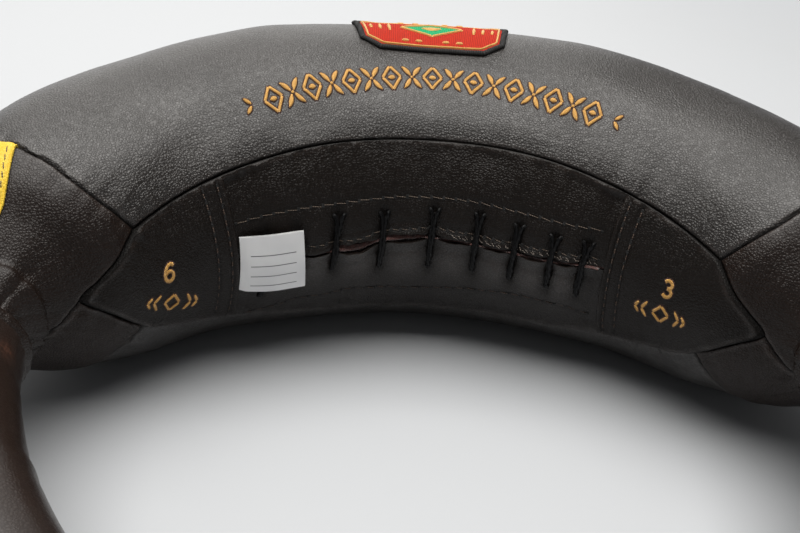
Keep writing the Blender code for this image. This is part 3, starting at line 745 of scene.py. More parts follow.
def folded(run, angle):
    # height of the cloth run's folds at places on the bag
    share = np.clip((run + skinTest["reach"]) / (2 * skinTest["reach"]), 0, 1)
    row = share * (skinTest["along"] - 1.001)
    column = np.mod(angle, 360) / 360 * skinTest["around"]
    i, j = np.floor(row).astype(int), np.floor(column).astype(int)
    a, b = ease(row - i), ease(column - j)
    j, k = j % skinTest["around"], (j + 1) % skinTest["around"]
    return ((skinFolds[i, j] * (1 - b) + skinFolds[i, k] * b) * (1 - a)
            + (skinFolds[i + 1, j] * (1 - b) + skinFolds[i + 1, k] * b) * a)


dents = ((.00045, .042), (.00022, .019), (.00007, .0075))     # depth and size
# seam rims that are partly worn and partly a painted highlight, and the reach of the painted shade
# in the seams
wearAndShade = {
    "rim": .0014, "rimWide": .0010, "litAndRubbed": .28, "polished": .45,
    "paintedShade": .0009, "matte": .0012,      # reach of a seam's shade and of its unpolished edge
}


def slack(points, seed):
    # broad dents of stuffed leather
    return sum(depth * softNoise(points, size, seed + i) for i, (depth, size) in enumerate(dents))


def paintWearAndLight(piece, nearest, polish, litAndRubbed=0.0, paintedShade=0.0):
    uneven = np.clip(.9 + softNoise(pointsOf(piece), .005, 31), 0, 1)
    rim = hill(nearest - wearAndShade["rim"], wearAndShade["rimWide"]) * uneven
    shined = np.clip(polish + wearAndShade["polished"] * rim, 0, 1)
    # lighter rims along the seams: partly wear, partly painted highlight
    paint(piece, "litAndRubbed", np.maximum(wearAndShade["litAndRubbed"] * rim, litAndRubbed))
    # painted shade right in the seams, and wherever the caller asks for painted shade
    paint(piece, "paintedShade", np.maximum(np.clip(1 - nearest / wearAndShade["paintedShade"], 0, 1), paintedShade))
    paint(piece, "polish", shined * np.clip(nearest / wearAndShade["matte"], 0, 1))


leatherLook = {
    "thick": .0013, "along": 230, "across": 104, "pullAlong": .55, "pullAcross": .86,
    "fold": .0008, "foldSize": .012, "crownPolish": .64, "underPolish": .85,
}


def longPanel(name, node, up, seed):
    piece, u, v = sheetGrid(name, leatherLook["along"], leatherLook["across"])
    share = packed(v, leatherLook["pullAcross"])
    run = (packed(u, leatherLook["pullAlong"]) * 2 - 1) * mainSeamRun(share)
    angle = up * crownAngle(run, share)
    plain = place(run, angle)
    word = "top" if up > 0 else "low"
    out, nearest = seamRelief(plain, [word + "Inner", "outer", word + "left", word + "right"])
    ends = ease((np.abs(run) - .10) / .07)
    inward = ease((75 - np.abs(angle)) / 50)
    folds = leatherLook["fold"] * softNoise(plain * [1, 1, .35], leatherLook["foldSize"], seed + 7)
    out += slack(plain, seed) * ease(nearest / .012) + folds * ends * inward * ease(nearest / .006)
    out += folded(run, angle)
    shape(piece, place(run, angle, out))
    faceOut(piece, run, angle)
    keepSkin(piece)
    paintWearAndLight(piece, nearest, leatherLook["crownPolish" if up > 0 else "underPolish"])
    thicken(piece, leatherLook["thick"])
    # the underside takes the leather that is painted darker as painted shade
    leatherOf = crownLeather if up > 0 else shadedInnerLeather
    return finishPiece(piece, leatherOf, "bag", [node])


longPanel("topPanel", "top_panel", 1, 101)
longPanel("bottomPanel", "bottom_panel", -1, 151)
print("long panels made")

laps = {
    "left": {"run": .1175, "slant": .00008, "rows": (.0045, .0140)},
    "right": {"run": .1138, "slant": 0.0, "rows": (.0042, .0123)},
    "edge": .0008, "groove": .0006, "grooveWide": .0011, "crease": .0004, "creaseSize": .009,
}


def endPanel(word, side):
    lap = laps[word]
    piece, u, v = sheetGrid(word + "EndPanel", 84, 66)
    across = packed(v, .8) * 2 - 1
    near = lap["run"] + lap["slant"] * across * 32
    run = near + (tipSeamRun(across) - near) * packed(u, .8)
    angle = across * seamAngle(run)
    plain = place(side * run, angle)
    out, nearest = seamRelief(plain, ["topInner", "lowInner", "tip" + word], welt)
    beyondLap = run - near
    out -= turnedEdge(beyondLap * .7, laps["edge"])
    creases = laps["crease"] * softNoise(plain * [1, 1, .3], laps["creaseSize"], 205)
    out += slack(plain, 201) * ease(nearest / .012) + creases * ease(nearest / .006)
    out += folded(side * run, angle)
    # two stitch rows press the lap down
    sewn = 0
    for row in lap["rows"]:
        groove = hill(beyondLap - row, laps["grooveWide"])
        out -= laps["groove"] * groove
        sewn = np.maximum(sewn, groove)
    shape(piece, place(side * run, angle, out))
    faceOut(piece, side * run, angle)
    keepSkin(piece)
    polish = .15 * ease((angle - 5) / 20)
    # painted shade along the two stitch rows
    paintWearAndLight(piece, np.minimum(nearest, beyondLap + .0012), polish, 0.0, .5 * sewn)
    thicken(piece, leatherLook["thick"])
    return finishPiece(piece, shadedInnerLeather, "bag", [word + "_end_panel"])


for word, side in bothSides:
    endPanel(word, side)
print("end panels made")

closure = {
    "end": .133, "lap": .1138,
    "reach": .0632,      # radius on which angles between the flaps turn into lengths
    "under": .0018,      # how far the flaps lie below the laps
    "short": .72,        # length on the inner side for one of run
    "puff": .0013, "bulge": .0015, "bulgeWide": 12,
    "ragged": .25, "raggedSize": .004,
    # height and width of the rolled edge, of the groove behind it and of a stitched groove
    "roll": (.0007, .0022), "behind": (.0004, .0012), "behindAt": .0045, "sewn": (.0005, .0009),
    "slit": [(-.13, -2.0), (-.0754, -2.0), (-.0475, -1.0), (-.022, 1.8),
             (.004, 3.0), (.036, 2.0), (.07, 1.6), (.13, 2.0)],
    "gap": [(-.13, .4), (-.060, .6), (-.052, 1.9), (-.040, 2.3), (-.029, 1.1), (-.018, 1.7),
            (-.006, 1.6), (.0, 1.1), (.012, .8), (.05, .7), (.07, 1.0), (.095, .9), (.13, .3)],
    "rawShow": [(-.12, .2), (-.062, .3), (-.052, 2.0), (-.030, 1.6), (-.018, 1.7),
                (-.003, 1.2), (.006, .3), (.085, .3), (.094, 1.0), (.12, .5)],
    # holes of the lace: where each stitch starts above the slit and ends below it
    "tops": [(-.0975, 4.5), (-.0800, 4.5), (-.0540, 11.5), (-.0255, 11.5), (.0055, 13.0),
             (.0335, 13.0), (.0585, 11.5), (.0815, 10.5), (.1010, 10.5)],
    "lows": [(-.1010, -22.0), (-.0812, -10.5), (-.0579, -10.5), (-.0270, -11.0), (.0040, -10.0),
             (.0320, -10.0), (.0565, -10.5), (.0800, -11.0), (.0990, -12.5)],
    "hemTop": [(-.13, 11.0), (-.118, 12.7), (-.0905, 15.0), (-.0535, 16.0), (-.0045, 17.75),
               (.0215, 17.75), (.0575, 16.5), (.082, 16.0), (.1135, 17.0), (.13, 17.5)],
    "hemLow": [(-.13, -35.0), (-.1125, -33.0), (-.088, -29.0), (-.082, -26.0), (-.057, -24.0),
               (-.039, -22.2), (.001, -23.0), (.0215, -21.0), (.0555, -18.5), (.0855, -18.8),
               (.113, -22.5), (.13, -24.0)],
}
closure["edgeRow"] = [(run, slit + 3.4) for run, slit in closure["slit"]]
# what the lace does to the leather: a dent under each strand, a dimple at each hole, and rays
drawnIn = {
    "dent": .0009, "dentWide": .0032, "dentRadius": .06,
    "dimple": .0008, "dimpleWide": .0017, "dimpleRadius": .062,
    "ray": .00022, "rays": 9, "rayReach": .0052, "rayStart": .002,
    "crease": .00045, "creaseSize": .0065, "fineCrease": .00022, "fineSize": .0028,
}


def betweenLaces(run):
    # 0 at each lace stitch, 1 half way to the next
    middles = [(low[0] + top[0]) / 2 for top, low in zip(closure["tops"], closure["lows"])]
    phase = np.interp(run, middles, np.arange(len(middles)))
    return np.sin(np.pi * (phase % 1)) ** 1.2 * ((run > middles[0]) & (run < middles[-1]))


def flapHeight(run, angle, plain):
    # leather bulges between the lace stitches and is drawn in at their holes
    inside = ease((closure["lap"] - .004 - np.abs(run)) / .010)
    out = -closure["under"] + closure["puff"] * inside
    for (topRun, topAngle), (lowRun, lowAngle) in zip(closure["tops"], closure["lows"]):
        share = np.clip((angle - lowAngle) / (topAngle - lowAngle), 0, 1)
        laceRun = lowRun + (topRun - lowRun) * share
        beyond = np.maximum(0, np.maximum(angle - topAngle, lowAngle - angle))
        beyond = beyond * math.radians(1) * drawnIn["dentRadius"]
        away = np.hypot((run - laceRun) * closure["short"], beyond)
        out = out - drawnIn["dent"] * hill(away, drawnIn["dentWide"])
        for holeRun, holeAngle in ((topRun, topAngle), (lowRun, lowAngle)):
            dx = (run - holeRun) * closure["short"]
            dy = (angle - holeAngle) * math.radians(1) * drawnIn["dimpleRadius"]
            radius = np.hypot(dx, dy)
            rays = np.cos(np.arctan2(dy, dx) * drawnIn["rays"] + holeRun * 900)
            rays = rays * hill(radius, drawnIn["rayReach"])
            rays = rays * ease(radius / drawnIn["rayStart"])
            dimple = hill(radius, drawnIn["dimpleWide"])
            out = out - drawnIn["dimple"] * dimple + drawnIn["ray"] * rays
    reach = hill(np.abs(angle - 1), closure["bulgeWide"])
    creases = drawnIn["crease"] * softNoise(plain * [1, 1, .25], drawnIn["creaseSize"], 305)
    fine = drawnIn["fineCrease"] * softNoise(plain * [1, 1, .2], drawnIn["fineSize"], 306)
    return out + (creases + fine * reach) * inside + closure["bulge"] * betweenLaces(run) * reach


def flap(name, node, up):
    piece, u, v = sheetGrid(name, 300, 44)
    run = (u * 2 - 1) * closure["end"]
    raw = softNoise(np.stack([run, run * 0, run * 0], 1), closure["raggedSize"], 41)
    low = curveThrough(closure["slit"], run) + up * curveThrough(closure["gap"], run)
    low = low + closure["ragged"] * raw
    high = up * seamAngle(run)
    angle = low + (high - low) * packed(v, .75)
    plain = place(run, angle)
    out, nearest = seamRelief(plain, ["topInner" if up > 0 else "lowInner"], welt)
    out = out + flapHeight(run, angle, plain) * ease((nearest - .0004) / .004)
    out = out + .7 * folded(run, angle)
    # the edge along the slit is rolled, with a groove behind the roll
    fromSlit = np.abs(angle - low) * math.radians(1) * closure["reach"]
    lips = ease((closure["lap"] - .002 - np.abs(run)) / .006)
    (high, wide), (deep, deepWide) = closure["roll"], closure["behind"]
    out += lips * (high * hill(fromSlit, wide)
                   - deep * hill(fromSlit - closure["behindAt"], deepWide))
    deep, wide = closure["sewn"]
    sewn = 0
    for row in (closure["hemTop"], closure["hemLow"], closure["edgeRow"]):
        away = (angle - curveThrough(row, run)) * math.radians(1) * closure["reach"]
        groove = hill(away, wide) * lips
        out -= deep * groove
        sewn = np.maximum(sewn, groove)
    shape(piece, place(run, angle, out))
    faceOut(piece, run, angle)
    keepSkin(piece)
    # painted highlight of the worn colour on the puffs between laces below the slit; painted shade
    # beside each lace and along the stitch rows
    litPuffs = betweenLaces(run) * hill(angle + 7, 8) * (up < 0)
    drawn = (1 - betweenLaces(run)) ** 2 * np.exp(-(np.abs(angle - 1) / 13) ** 4)
    drawn = drawn * (np.abs(run) < .104)
    polish = (.04 if up > 0 else .22) + .6 * litPuffs + .25 * hill(fromSlit, .003)
    paintWearAndLight(piece, nearest, polish, .45 * litPuffs, np.maximum(.55 * drawn, .6 * sewn))
    thicken(piece, leatherLook["thick"])
    return finishPiece(piece, shadedInnerLeather, "bag", [node])


flap("upperFlap", "closure_upper_flap", 1)
flap("lowerFlap", "closure_lower_flap", -1)


inSlit = {
    "facing": {"half": 15, "deep": .0042, "lump": .0008, "lumpSize": .008, "ridge": .0012,
               "ridgeWide": .14, "thick": .0010},
    "raw": {"back": .9, "shown": 1.35, "deep": .0014, "roll": .0013, "thick": .0006,
            "ragged": .15, "raggedSize": .0022, "fray": .00025, "fraySize": .0016},
}


def facing():
    # the suede strip seen through the slit
    look = inSlit["facing"]
    piece, u, v = sheetGrid("closureFacing", 150, 16)
    run = (u * 2 - 1) * closure["lap"]
    angle = curveThrough(closure["slit"], run) + (v * 2 - 1) * look["half"]
    lumps = look["lump"] * softNoise(place(run, angle), look["lumpSize"], 51)
    ridge = look["ridge"] * hill(v - .5, look["ridgeWide"])
    shape(piece, place(run, angle, -look["deep"] + lumps + ridge))
    faceOut(piece, run, angle)
    thicken(piece, look["thick"])
    return finishPiece(piece, suede, "bag", ["closure_facing"])


facing()


def rawLip():
    # the raw edge of the lower flap, reddish and a little frayed, that rolls into the slit
    look = inSlit["raw"]
    piece, u, v = sheetGrid("rawSlitEdge", 320, 6)
    run = (u * 2 - 1) * (closure["lap"] - .003)
    slit, gap, show = (curveThrough(closure[key], run) for key in ("slit", "gap", "rawShow"))
    ragged = softNoise(np.stack([run, v * .002, run * 0], 1), look["raggedSize"], 61)
    angle = slit - gap * look["back"] + v * show * look["shown"] + look["ragged"] * ragged
    frayed = look["fray"] * softNoise(np.stack([run, v * .003, run * 0], 1), look["fraySize"], 62)
    shape(piece, place(run, angle, -look["deep"] + look["roll"] * np.sin(np.pi * v) + frayed))
    faceOut(piece, run, angle)
    thicken(piece, look["thick"])
    return finishPiece(piece, suede, "bag")


rawLip()
print("closure made")

horn = {
    "pleats": 15,
    "pleat": [(.18, 0), (.205, .0003), (.225, .0009), (.240, .0014), (.2475, .0012),
              (.2535, .0006), (.2625, .0003)],
    "inner": .16,        # share of the wrap, from either side of its inner seam, that is inside
    "tuck": .0016,       # how far the end is drawn in under the sleeve
    "tuckRun": .2485,
    "seamsEnd": .2465,
    "fold": .0009, "foldSize": .0075, "thick": .0011,
    "start": .240, "stop": .2605,
}


def pleatHeight(run, angle, seed):
    # uneven pleats round the neck, which wander a little along it
    turn = np.radians(angle)
    wave = turn + .17 * np.sin(turn * 3 + seed) + .11 * np.sin(turn * 5 + 2 * seed)
    wave = wave + .20 * np.sin((run - .2) * 60 + seed) * np.sin(turn * 2 + seed)
    crest = np.abs(np.cos(wave * horn["pleats"] / 2)) ** .8
    second = np.abs(np.cos(wave * horn["pleats"] * .62 + 1.1))
    return curveThrough(horn["pleat"], run) * (.75 * crest + .25 * second - .62)


def hornPlaces(u, v):
    # the wrap starts and ends at the inner seam, so v goes once round the tube
    lap = packed(v, .3)
    half = 1 - np.abs(lap * 2 - 1)
    up = np.where(lap < .5, 1.0, -1.0)
    inner = horn["inner"]
    isInner = half < inner
    innerShare = np.clip(half / inner, 0, 1)
    crownShare = np.clip((half - inner) / (1 - inner), 0, 1)
    near = np.where(isInner, tipSeamRun(innerShare), mainSeamRun(crownShare))
    run = near + (bag["collarEnd"] - near) * packed(u, .45) ** .9
    angle = np.where(isInner, seamAngle(run) * innerShare, crownAngle(run, crownShare)) * up
    return run, np.where(up > 0, angle, angle + 360) + hornTwist(run)


def hornPiece(word, side):
    piece, u, v = sheetGrid(word + "Horn", 120, 260)
    run, angle = hornPlaces(u, v)
    share = pastHorn(run)[:, None]

    def atHeight(out):
        body = place(side * run, angle, out)
        neck = placeRound(side * run, angle, curveThrough(bag["collar"], run) + out)
        return body + (neck - body) * share

    plain = atHeight(0.0)
    out, nearest = seamRelief(plain, ["top" + word, "low" + word, "tip" + word, "horn" + word])
    turn = np.radians(angle)
    pleats = pleatHeight(run, angle, 1.3 if side < 0 else 2.9)
    pleats = pleats - horn["tuck"] * ease((run - horn["tuckRun"]) / .005)
    sagging = slack(plain, 410 + 10 * side) * ease(nearest / .012)
    sagging = sagging * (1 - ease((run - .175) / .05) * .5)
    out = out * ease((horn["seamsEnd"] - run) / .006) + pleats + sagging
    out += folded(side * run, angle)
    # folds square to the bend on its inner side
    folds = softNoise(np.stack([run, turn * .012, run * 0], 1), horn["foldSize"], 402 + side)
    inward = np.cos(turn) * .5 + .5
    between = ease((run - .185) / .02) * ease((.245 - run) / .02)
    out += horn["fold"] * folds * inward**2 * between * ease(nearest / .006)
    shape(piece, atHeight(out))
    faceOut(piece, side * run, angle)
    keepSkin(piece)
    polish = .42 * ease((np.sin(turn) - .35) / .6) + .2 * ease((run - .235) / .01)
    paintWearAndLight(piece, np.where(run > .2445, 1.0, nearest), polish)
    thicken(piece, horn["thick"])
    finishPiece(piece, hornLeather, None, [word + "_horn", word + "_neck_collar"])
    tuple(placeRound(side * horn["start"], 0, 0.0))
    tuple(placeRound(side * horn["stop"], 0, 0.0))
    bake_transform(piece)
    return piece


for word, side in bothSides:
    hornPiece(word, side)
print("horns made")

grip = {
    "radius": .0198, "start": .2515, "end": .3868, "capEnd": .3978,
    "thick": .0012, "capThick": .0011, "seamAngle": 300, "gathers": 11,
    "flare": .0024, "flareReach": .013,      # the mouth stands out over the collar
    "gather": .0011, "gatherReach": .012,
    "mouthEdge": (.0030, .0026), "endEdge": (.0016, .0018),
    "seam": ((.0012, .0010), (.0004, .004)),
    "drawn": .0006, "drawnReach": .005, "capGather": .0005, "capGatherReach": .007,
    "crease": .00028, "neckCrease": .0008, "creaseSize": .0065, "dent": .0006, "dentSize": .022,
    "scuff": (-.1414, -.0546, .0750), "scuffWide": .0034,
}


def rolledEdge(distance, edge):
    # a sleeve's edge turned in: how deep it goes and how far from the edge it starts
    depth, reach = edge
    return depth * (1 - np.sqrt(np.clip(1 - (1 - np.clip(distance / reach, 0, 1)) ** 2, 0, 1)))


def capGathers(angle):
    turn = np.radians(angle)
    return np.abs(np.cos(turn * grip["gathers"] + np.sin(turn * 2)))


def gripSleeve(word, side):
    piece, u, v = sheetGrid(word + "GripSleeve", 150, 96)
    run = grip["start"] + (grip["end"] - grip["start"]) * packed(u, .6)
    angle = v * 360 + grip["seamAngle"]
    turn = np.radians(angle)
    plain = placeRound(side * run, angle, grip["radius"])
    inward = np.cos(turn) * .5 + .5
    round3 = np.stack([run, np.sin(turn) * .010, np.cos(turn) * .010], 1)
    creases = softNoise(round3 * [1, .35, .35], grip["creaseSize"], 501 + side)
    nearNeck = ease((.300 - run) / .04)
    out = grip["crease"] * creases * (inward + .25) + grip["neckCrease"] * nearNeck * creases
    out += grip["dent"] * softNoise(plain, grip["dentSize"], 505 + side)
    # the mouth is gathered over the collar and turned in
    fromStart = run - grip["start"]
    pleatRun, pleatHigh = horn["pleat"][4]
    gathers = pleatHeight(np.full(len(run), pleatRun), angle, 4.1 + side) / pleatHigh
    out += grip["flare"] * hill(fromStart, grip["flareReach"])
    out += grip["gather"] * gathers * np.exp(-fromStart / grip["gatherReach"])
    out -= rolledEdge(fromStart, grip["mouthEdge"])
    # the seam runs along the handle
    toSeam = np.minimum(v, 1 - v) * 2 * np.pi * grip["radius"]
    for deep, wide in grip["seam"]:
        out -= deep * hill(toSeam, wide)
    toEnd = grip["end"] - run
    out -= rolledEdge(toEnd, grip["endEdge"])
    out -= grip["drawn"] * np.exp(-toEnd / grip["drawnReach"])
    out += grip["capGather"] * (capGathers(angle) - .6) * np.exp(-toEnd / grip["capGatherReach"])
    shape(piece, placeRound(side * run, angle, grip["radius"] + out))
    faceOut(piece, side * run, angle)
    keepSkin(piece)
    fromScuff = np.linalg.norm(pointsOf(piece) - grip["scuff"], axis=1)
    scuff = hill(fromScuff, grip["scuffWide"])
    paintWearAndLight(piece, np.minimum(toSeam + .0004, toEnd), .35 + .65 * nearNeck, .9 * scuff)
    applied(piece, "WELD", "closed", merge_threshold=.00002)
    thicken(piece, grip["thick"])
    return finishPiece(piece, gripLeather, word + "_handle",
                       [word + "_handle_sleeve"])


def gripCap(word, side):
    # a round end sewn into the sleeve, domed by the stuffing
    bpy.ops.mesh.primitive_circle_add(vertices=72, radius=1, fill_type="TRIFAN")
    piece = current(word + "GripCap")
    bpy.ops.object.mode_set(mode="EDIT")
    bpy.ops.mesh.select_all(action="SELECT")
    bpy.ops.mesh.poke()
    bpy.ops.mesh.subdivide(number_cuts=4)
    bpy.ops.object.mode_set(mode="OBJECT")
    x, y, z = pointsOf(piece).T
    radius = np.minimum(1, np.hypot(x, y))
    angle = np.degrees(np.arctan2(y, x))
    start = grip["end"] + .0004
    depth = (grip["capEnd"] - start) * np.clip(1 - radius**2.6, 0, 1) ** .62
    wide = grip["radius"] * np.clip(radius, 0, 1) ** .82 * (1 - .05 * radius**6)
    wide = wide + grip["capGather"] * (capGathers(angle) - .6) * radius**5
    run = start + depth - .0009 * np.clip((radius - .93) / .07, 0, 1) ** 2
    shape(piece, placeRound(side * run, angle, wide))
    faceOut(piece, side * np.full(len(x), grip["end"] - .01), angle)
    paintWearAndLight(piece, (1 - radius) * grip["radius"], .6)
    thicken(piece, grip["capThick"])
    return finishPiece(piece, gripLeather, word + "_handle",
                       [word + "_handle_cap"])


for word, side in bothSides:
    gripSleeve(word, side)
    gripCap(word, side)
print("handles made")

skinTree = BVHTree.FromPolygons(skinPoints, skinFaces)
search = {"above": .011, "below": .012, "most": .0185}


def onSkin(run, angle, lift=0.0):
    # points on the finished leather, raised by lift, and the way it faces there
    run, angle, lift = np.broadcast_arrays(np.asarray(run, float), angle, lift)
    outer, core = (place(run, angle, out).reshape(-1, 3)
                   for out in (search["above"], -search["below"]))
    spots, ways = np.empty_like(outer), np.empty_like(outer)
    for i, (high, low) in enumerate(zip(outer, core)):
        inward = Vector(low - high)
        hit, way = skinTree.ray_cast(Vector(high), inward.normalized(), search["most"])[:2]
        if hit is None:
            hit, way = Vector((high + low) / 2), -inward.normalized()
        spots[i], ways[i] = hit, way if way.dot(inward) < 0 else -way
    spots += ways * lift.reshape(-1, 1)
    return spots.reshape(*run.shape, 3), ways.reshape(*run.shape, 3)


def tubeGrid(path, radius, sides):
    # grid of points round a path in space, and its flat map
    path = np.asarray(path, float)
    way = np.gradient(path, axis=0)
    way /= np.linalg.norm(way, axis=1)[:, None]
    side = np.cross(way[0], [0.31, 0.52, 0.79])
    turns = np.linspace(0, 2 * np.pi, sides, endpoint=False)[:, None]
    rows = []
    for spot, ahead in zip(path, way):
        side = side - ahead * (side @ ahead)
        side /= np.linalg.norm(side)
        other = np.cross(ahead, side)
        rows.append(spot + radius * (np.cos(turns) * side + np.sin(turns) * other))
    flat = np.stack(np.meshgrid(along(path), np.arange(sides) / sides * .005, indexing="ij"), -1)
    return np.array(rows), flat


def tubes(name, paths, radius, sides=8):
    grids, flats = zip(*(tubeGrid(path, radius, sides) for path in paths))
    piece = meshFrom(name, grids, flats, wrap=True)
    outwards(piece)
    return piece


def oneStitch():
    # a short plied thread that dives into the leather at both ends
    bpy.ops.mesh.primitive_uv_sphere_add(
        segments=8, ring_count=7, radius=.5, rotation=(0, math.pi / 2, 0))
    piece = current("stitchMaster")
    bpy.ops.object.transform_apply(rotation=True)
    bpy.ops.object.mode_set(mode="EDIT")
    bpy.ops.mesh.select_all(action="SELECT")
    bpy.ops.transform.resize(value=(1, .98, 1))
    bpy.ops.object.mode_set(mode="OBJECT")
    points = pointsOf(piece).copy()
    points[:, 0] = np.sign(points[:, 0]) * (np.abs(points[:, 0]) * 2) ** .6 / 2
    # a new sphere numbers its corners in any order, so they are put in order here
    order = np.lexsort(np.round(points, 5).T)
    rank = np.argsort(order)
    faces = [[int(rank[i]) for i in face.vertices] for face in piece.data.polygons]
    bpy.data.objects.remove(piece)
    return points[order], sorted(faces, key=sorted)


stitchPoints, stitchFaces = oneStitch()


def copies(name, spots, material):
    # copies of the one stitch: each spot is a middle, three axes and three sizes
    points, faces, flat = [], [], []
    for middle, axes, sizes in spots:
        start = len(points)
        local = stitchPoints * sizes
        local[:, 2] -= sizes[2] * .55 * (2 * stitchPoints[:, 0]) ** 4
        points.extend((middle + local @ axes).tolist())
        faces.extend([start + i for i in face] for face in stitchFaces)
        flat.extend(local[:, :2].tolist())
    piece = freshMesh(name, points, faces, flat)
    outwards(piece)
    return finishPiece(piece, material, "bag", smooth=60)


sewing = {
    # each row: pitch, length, width and height of its stitches, and how far they stand off
    "upperHem": (.0051, .0050, .00034, .00036, .00012),
    "lowerHem": (.0050, .0042, .00036, .00034, .00004),
    "slitEdge": (.0040, .0036, .00032, .00034, .00006),
    "fray": (.0029, .0013, .00034, .0003, .00008),
    "frayBack": (.0037, .0017, .00030, .0003, .00012),
    "lap": (.0047, .0030, .00052, .00044, .00008),
    "strip": (.0036, .0029, .00046, .0004, .0001),
    "slant": .30, "uneven": .12,
    "hole": (.0014, .0012, .00042), "holeSink": .00008,
    "closureRuns": (-.1165, .1125), "behindLabel": (-.1175, -.0755),
    "frayRuns": (.016, .111), "frayAbove": 1.1, "frayStep": .35, "lapInset": 2.5,
}
# black blobs at the stitch ends, the painted shade of the needle holes
holes = []


def rowSpots(row, runs, angles, covered=(), holed=True, slant=sewing["slant"]):
    # stitches along a line of places, but not in the covered runs
    pitch, length, wide, high, lift = sewing[row]
    dense = np.linspace(0, 1, 160)
    at = np.linspace(0, 1, len(runs))
    runs, angles = np.interp(dense, at, runs), np.interp(dense, at, angles)
    length3 = along(place(runs, angles))
    count = int(length3[-1] / pitch)
    spots = []
    jitter = np.random.RandomState(7).uniform(-1, 1, (count, 2))
    for i in range(count):
        middle = (i + .5) * pitch
        ends = np.array([middle - length / 2, middle + length / 2])
        r, a = np.interp(ends, length3, runs), np.interp(ends, length3, angles)
        if any(first < r.mean() < last for first, last in covered):
            continue
        a = a + jitter[i] * sewing["uneven"] + np.array([slant, -slant])
        (first, last), ways = onSkin(r, a, lift)
        x = last - first
        size = np.linalg.norm(x)
        x /= size
        z = ways.mean(0)
        z = z - x * (z @ x)
        z /= np.linalg.norm(z)
        axes = np.array([x, np.cross(z, x), z])
        spots.append(((first + last) / 2, axes, np.array([size, wide, high])))
        if holed:
            for end in (first, last):
                spot = end - z * (lift - sewing["holeSink"])
                holes.append((spot, axes, np.array(sewing["hole"])))
    return spots


inside = np.linspace(*sewing["closureRuns"], 60)
for name, row, route, material, covered in (
        ("upperHemStitches", "upperHem", "hemTop", tanThread, []),
        ("lowerHemStitches", "lowerHem", "hemLow", brownThread, []),
        ("slitStitches", "slitEdge", "edgeRow", tanThread, [sewing["behindLabel"]])):
    copies(name, rowSpots(row, inside, curveThrough(closure[route], inside), covered), material)
frayed = np.linspace(*sewing["frayRuns"], 60)
edge = curveThrough(closure["slit"], frayed) + curveThrough(closure["gap"], frayed)
edge = edge + sewing["frayAbove"]
back = edge - sewing["frayStep"]
fraying = rowSpots("fray", frayed, edge, holed=False, slant=.55)
fraying += rowSpots("frayBack", frayed[::-1], back[::-1], holed=False, slant=-.30)
copies("frayedEdge", fraying, greyThread)
lapSpots = []
for word, side in bothSides:
    lap = laps[word]
    for row in lap["rows"]:
        reach = float(seamAngle(lap["run"] + row)) - sewing["lapInset"]
        angles = np.linspace(reach, -reach, 60)
        lapSpots += rowSpots("lap", side * (lap["run"] + lap["slant"] * angles + row), angles)
copies("lapStitches", lapSpots, brownThread)
# black blobs that paint the shade of the needle holes
copies("needleHoleShades", holes, blackThread)
print("stitches made")

lace = {
    "radius": .00084, "apart": .00130, "spread": .0013,
    "short": .70,        # length on the inner side for one of run
    # how each end enters the leather: depth, and how far ahead in steps of the strand
    "dive": ((.0042, .5), (.0020, .7), (.0007, .55)),
}


def stretchedOver(heights):
    # a taut strand over bumps: the upper hull of the heights under it
    hull = [0]
    for i in range(1, len(heights)):
        while len(hull) > 1:
            a, b = hull[-2], hull[-1]
            if (heights[b] - heights[a]) * (i - a) <= (heights[i] - heights[a]) * (b - a):
                hull.pop()
            else:
                break
        hull.append(i)
    return np.interp(np.arange(len(heights)), hull, heights[hull])


def laceStitches():
    paths = []
    t = np.linspace(0, 1, 22)
    for i, (top, low) in enumerate(zip(closure["tops"], closure["lows"])):
        (topRun, topAngle), (lowRun, lowAngle) = top, low
        for strand in (-1, 1):
            run = topRun + (lowRun - topRun) * t
            angle = topAngle + (lowAngle - topAngle) * t
            split = lace["spread"] * np.exp(-t / .10)
            apart = lace["apart"] / 2 * (1 - .75 * ease((t - .75) / .25))
            run = run + strand * (apart + split) / lace["short"]
            run = run + strand * .0002 * np.sin(t * 9 + i)
            middle, ways = onSkin(run, angle, lace["radius"] * .8)
            chord = middle[0] + (middle[-1] - middle[0]) * t[:, None]
            up = ways.mean(0) / np.linalg.norm(ways.mean(0))
            heights = (middle - chord) @ up
            middle = middle + up * (stretchedOver(heights) - heights)[:, None]
            down = [middle[0] - ways[0] * depth + (middle[0] - middle[1]) * steps
                    for depth, steps in lace["dive"]]
            back = [middle[-1] - ways[-1] * depth + (middle[-1] - middle[-2]) * steps
                    for depth, steps in reversed(lace["dive"])]
            paths.append(smoothed(np.vstack([down, middle, back]), 70))
    return paths


lacing = tubes("closureLacing", laceStitches(), lace["radius"], 10)
finishPiece(lacing, cordWax, "bag", ["closure_lace"], smooth=80)
print("lace made")

label = {
    "left": -.1163, "right": -.0790, "skew": .0018,
    "top": 8.0, "low": -15.6, "topRise": 1.0, "lowRise": 1.8,
    "thick": .00024, "fold": .0009, "foldEnds": (.49, .51), "loop": .0011,
    "sunk": .0006, "stand": .0036, "between": .00035,
    "map": (.054, .027),     # its own flat map, in metres
    "wide": .0272,
}


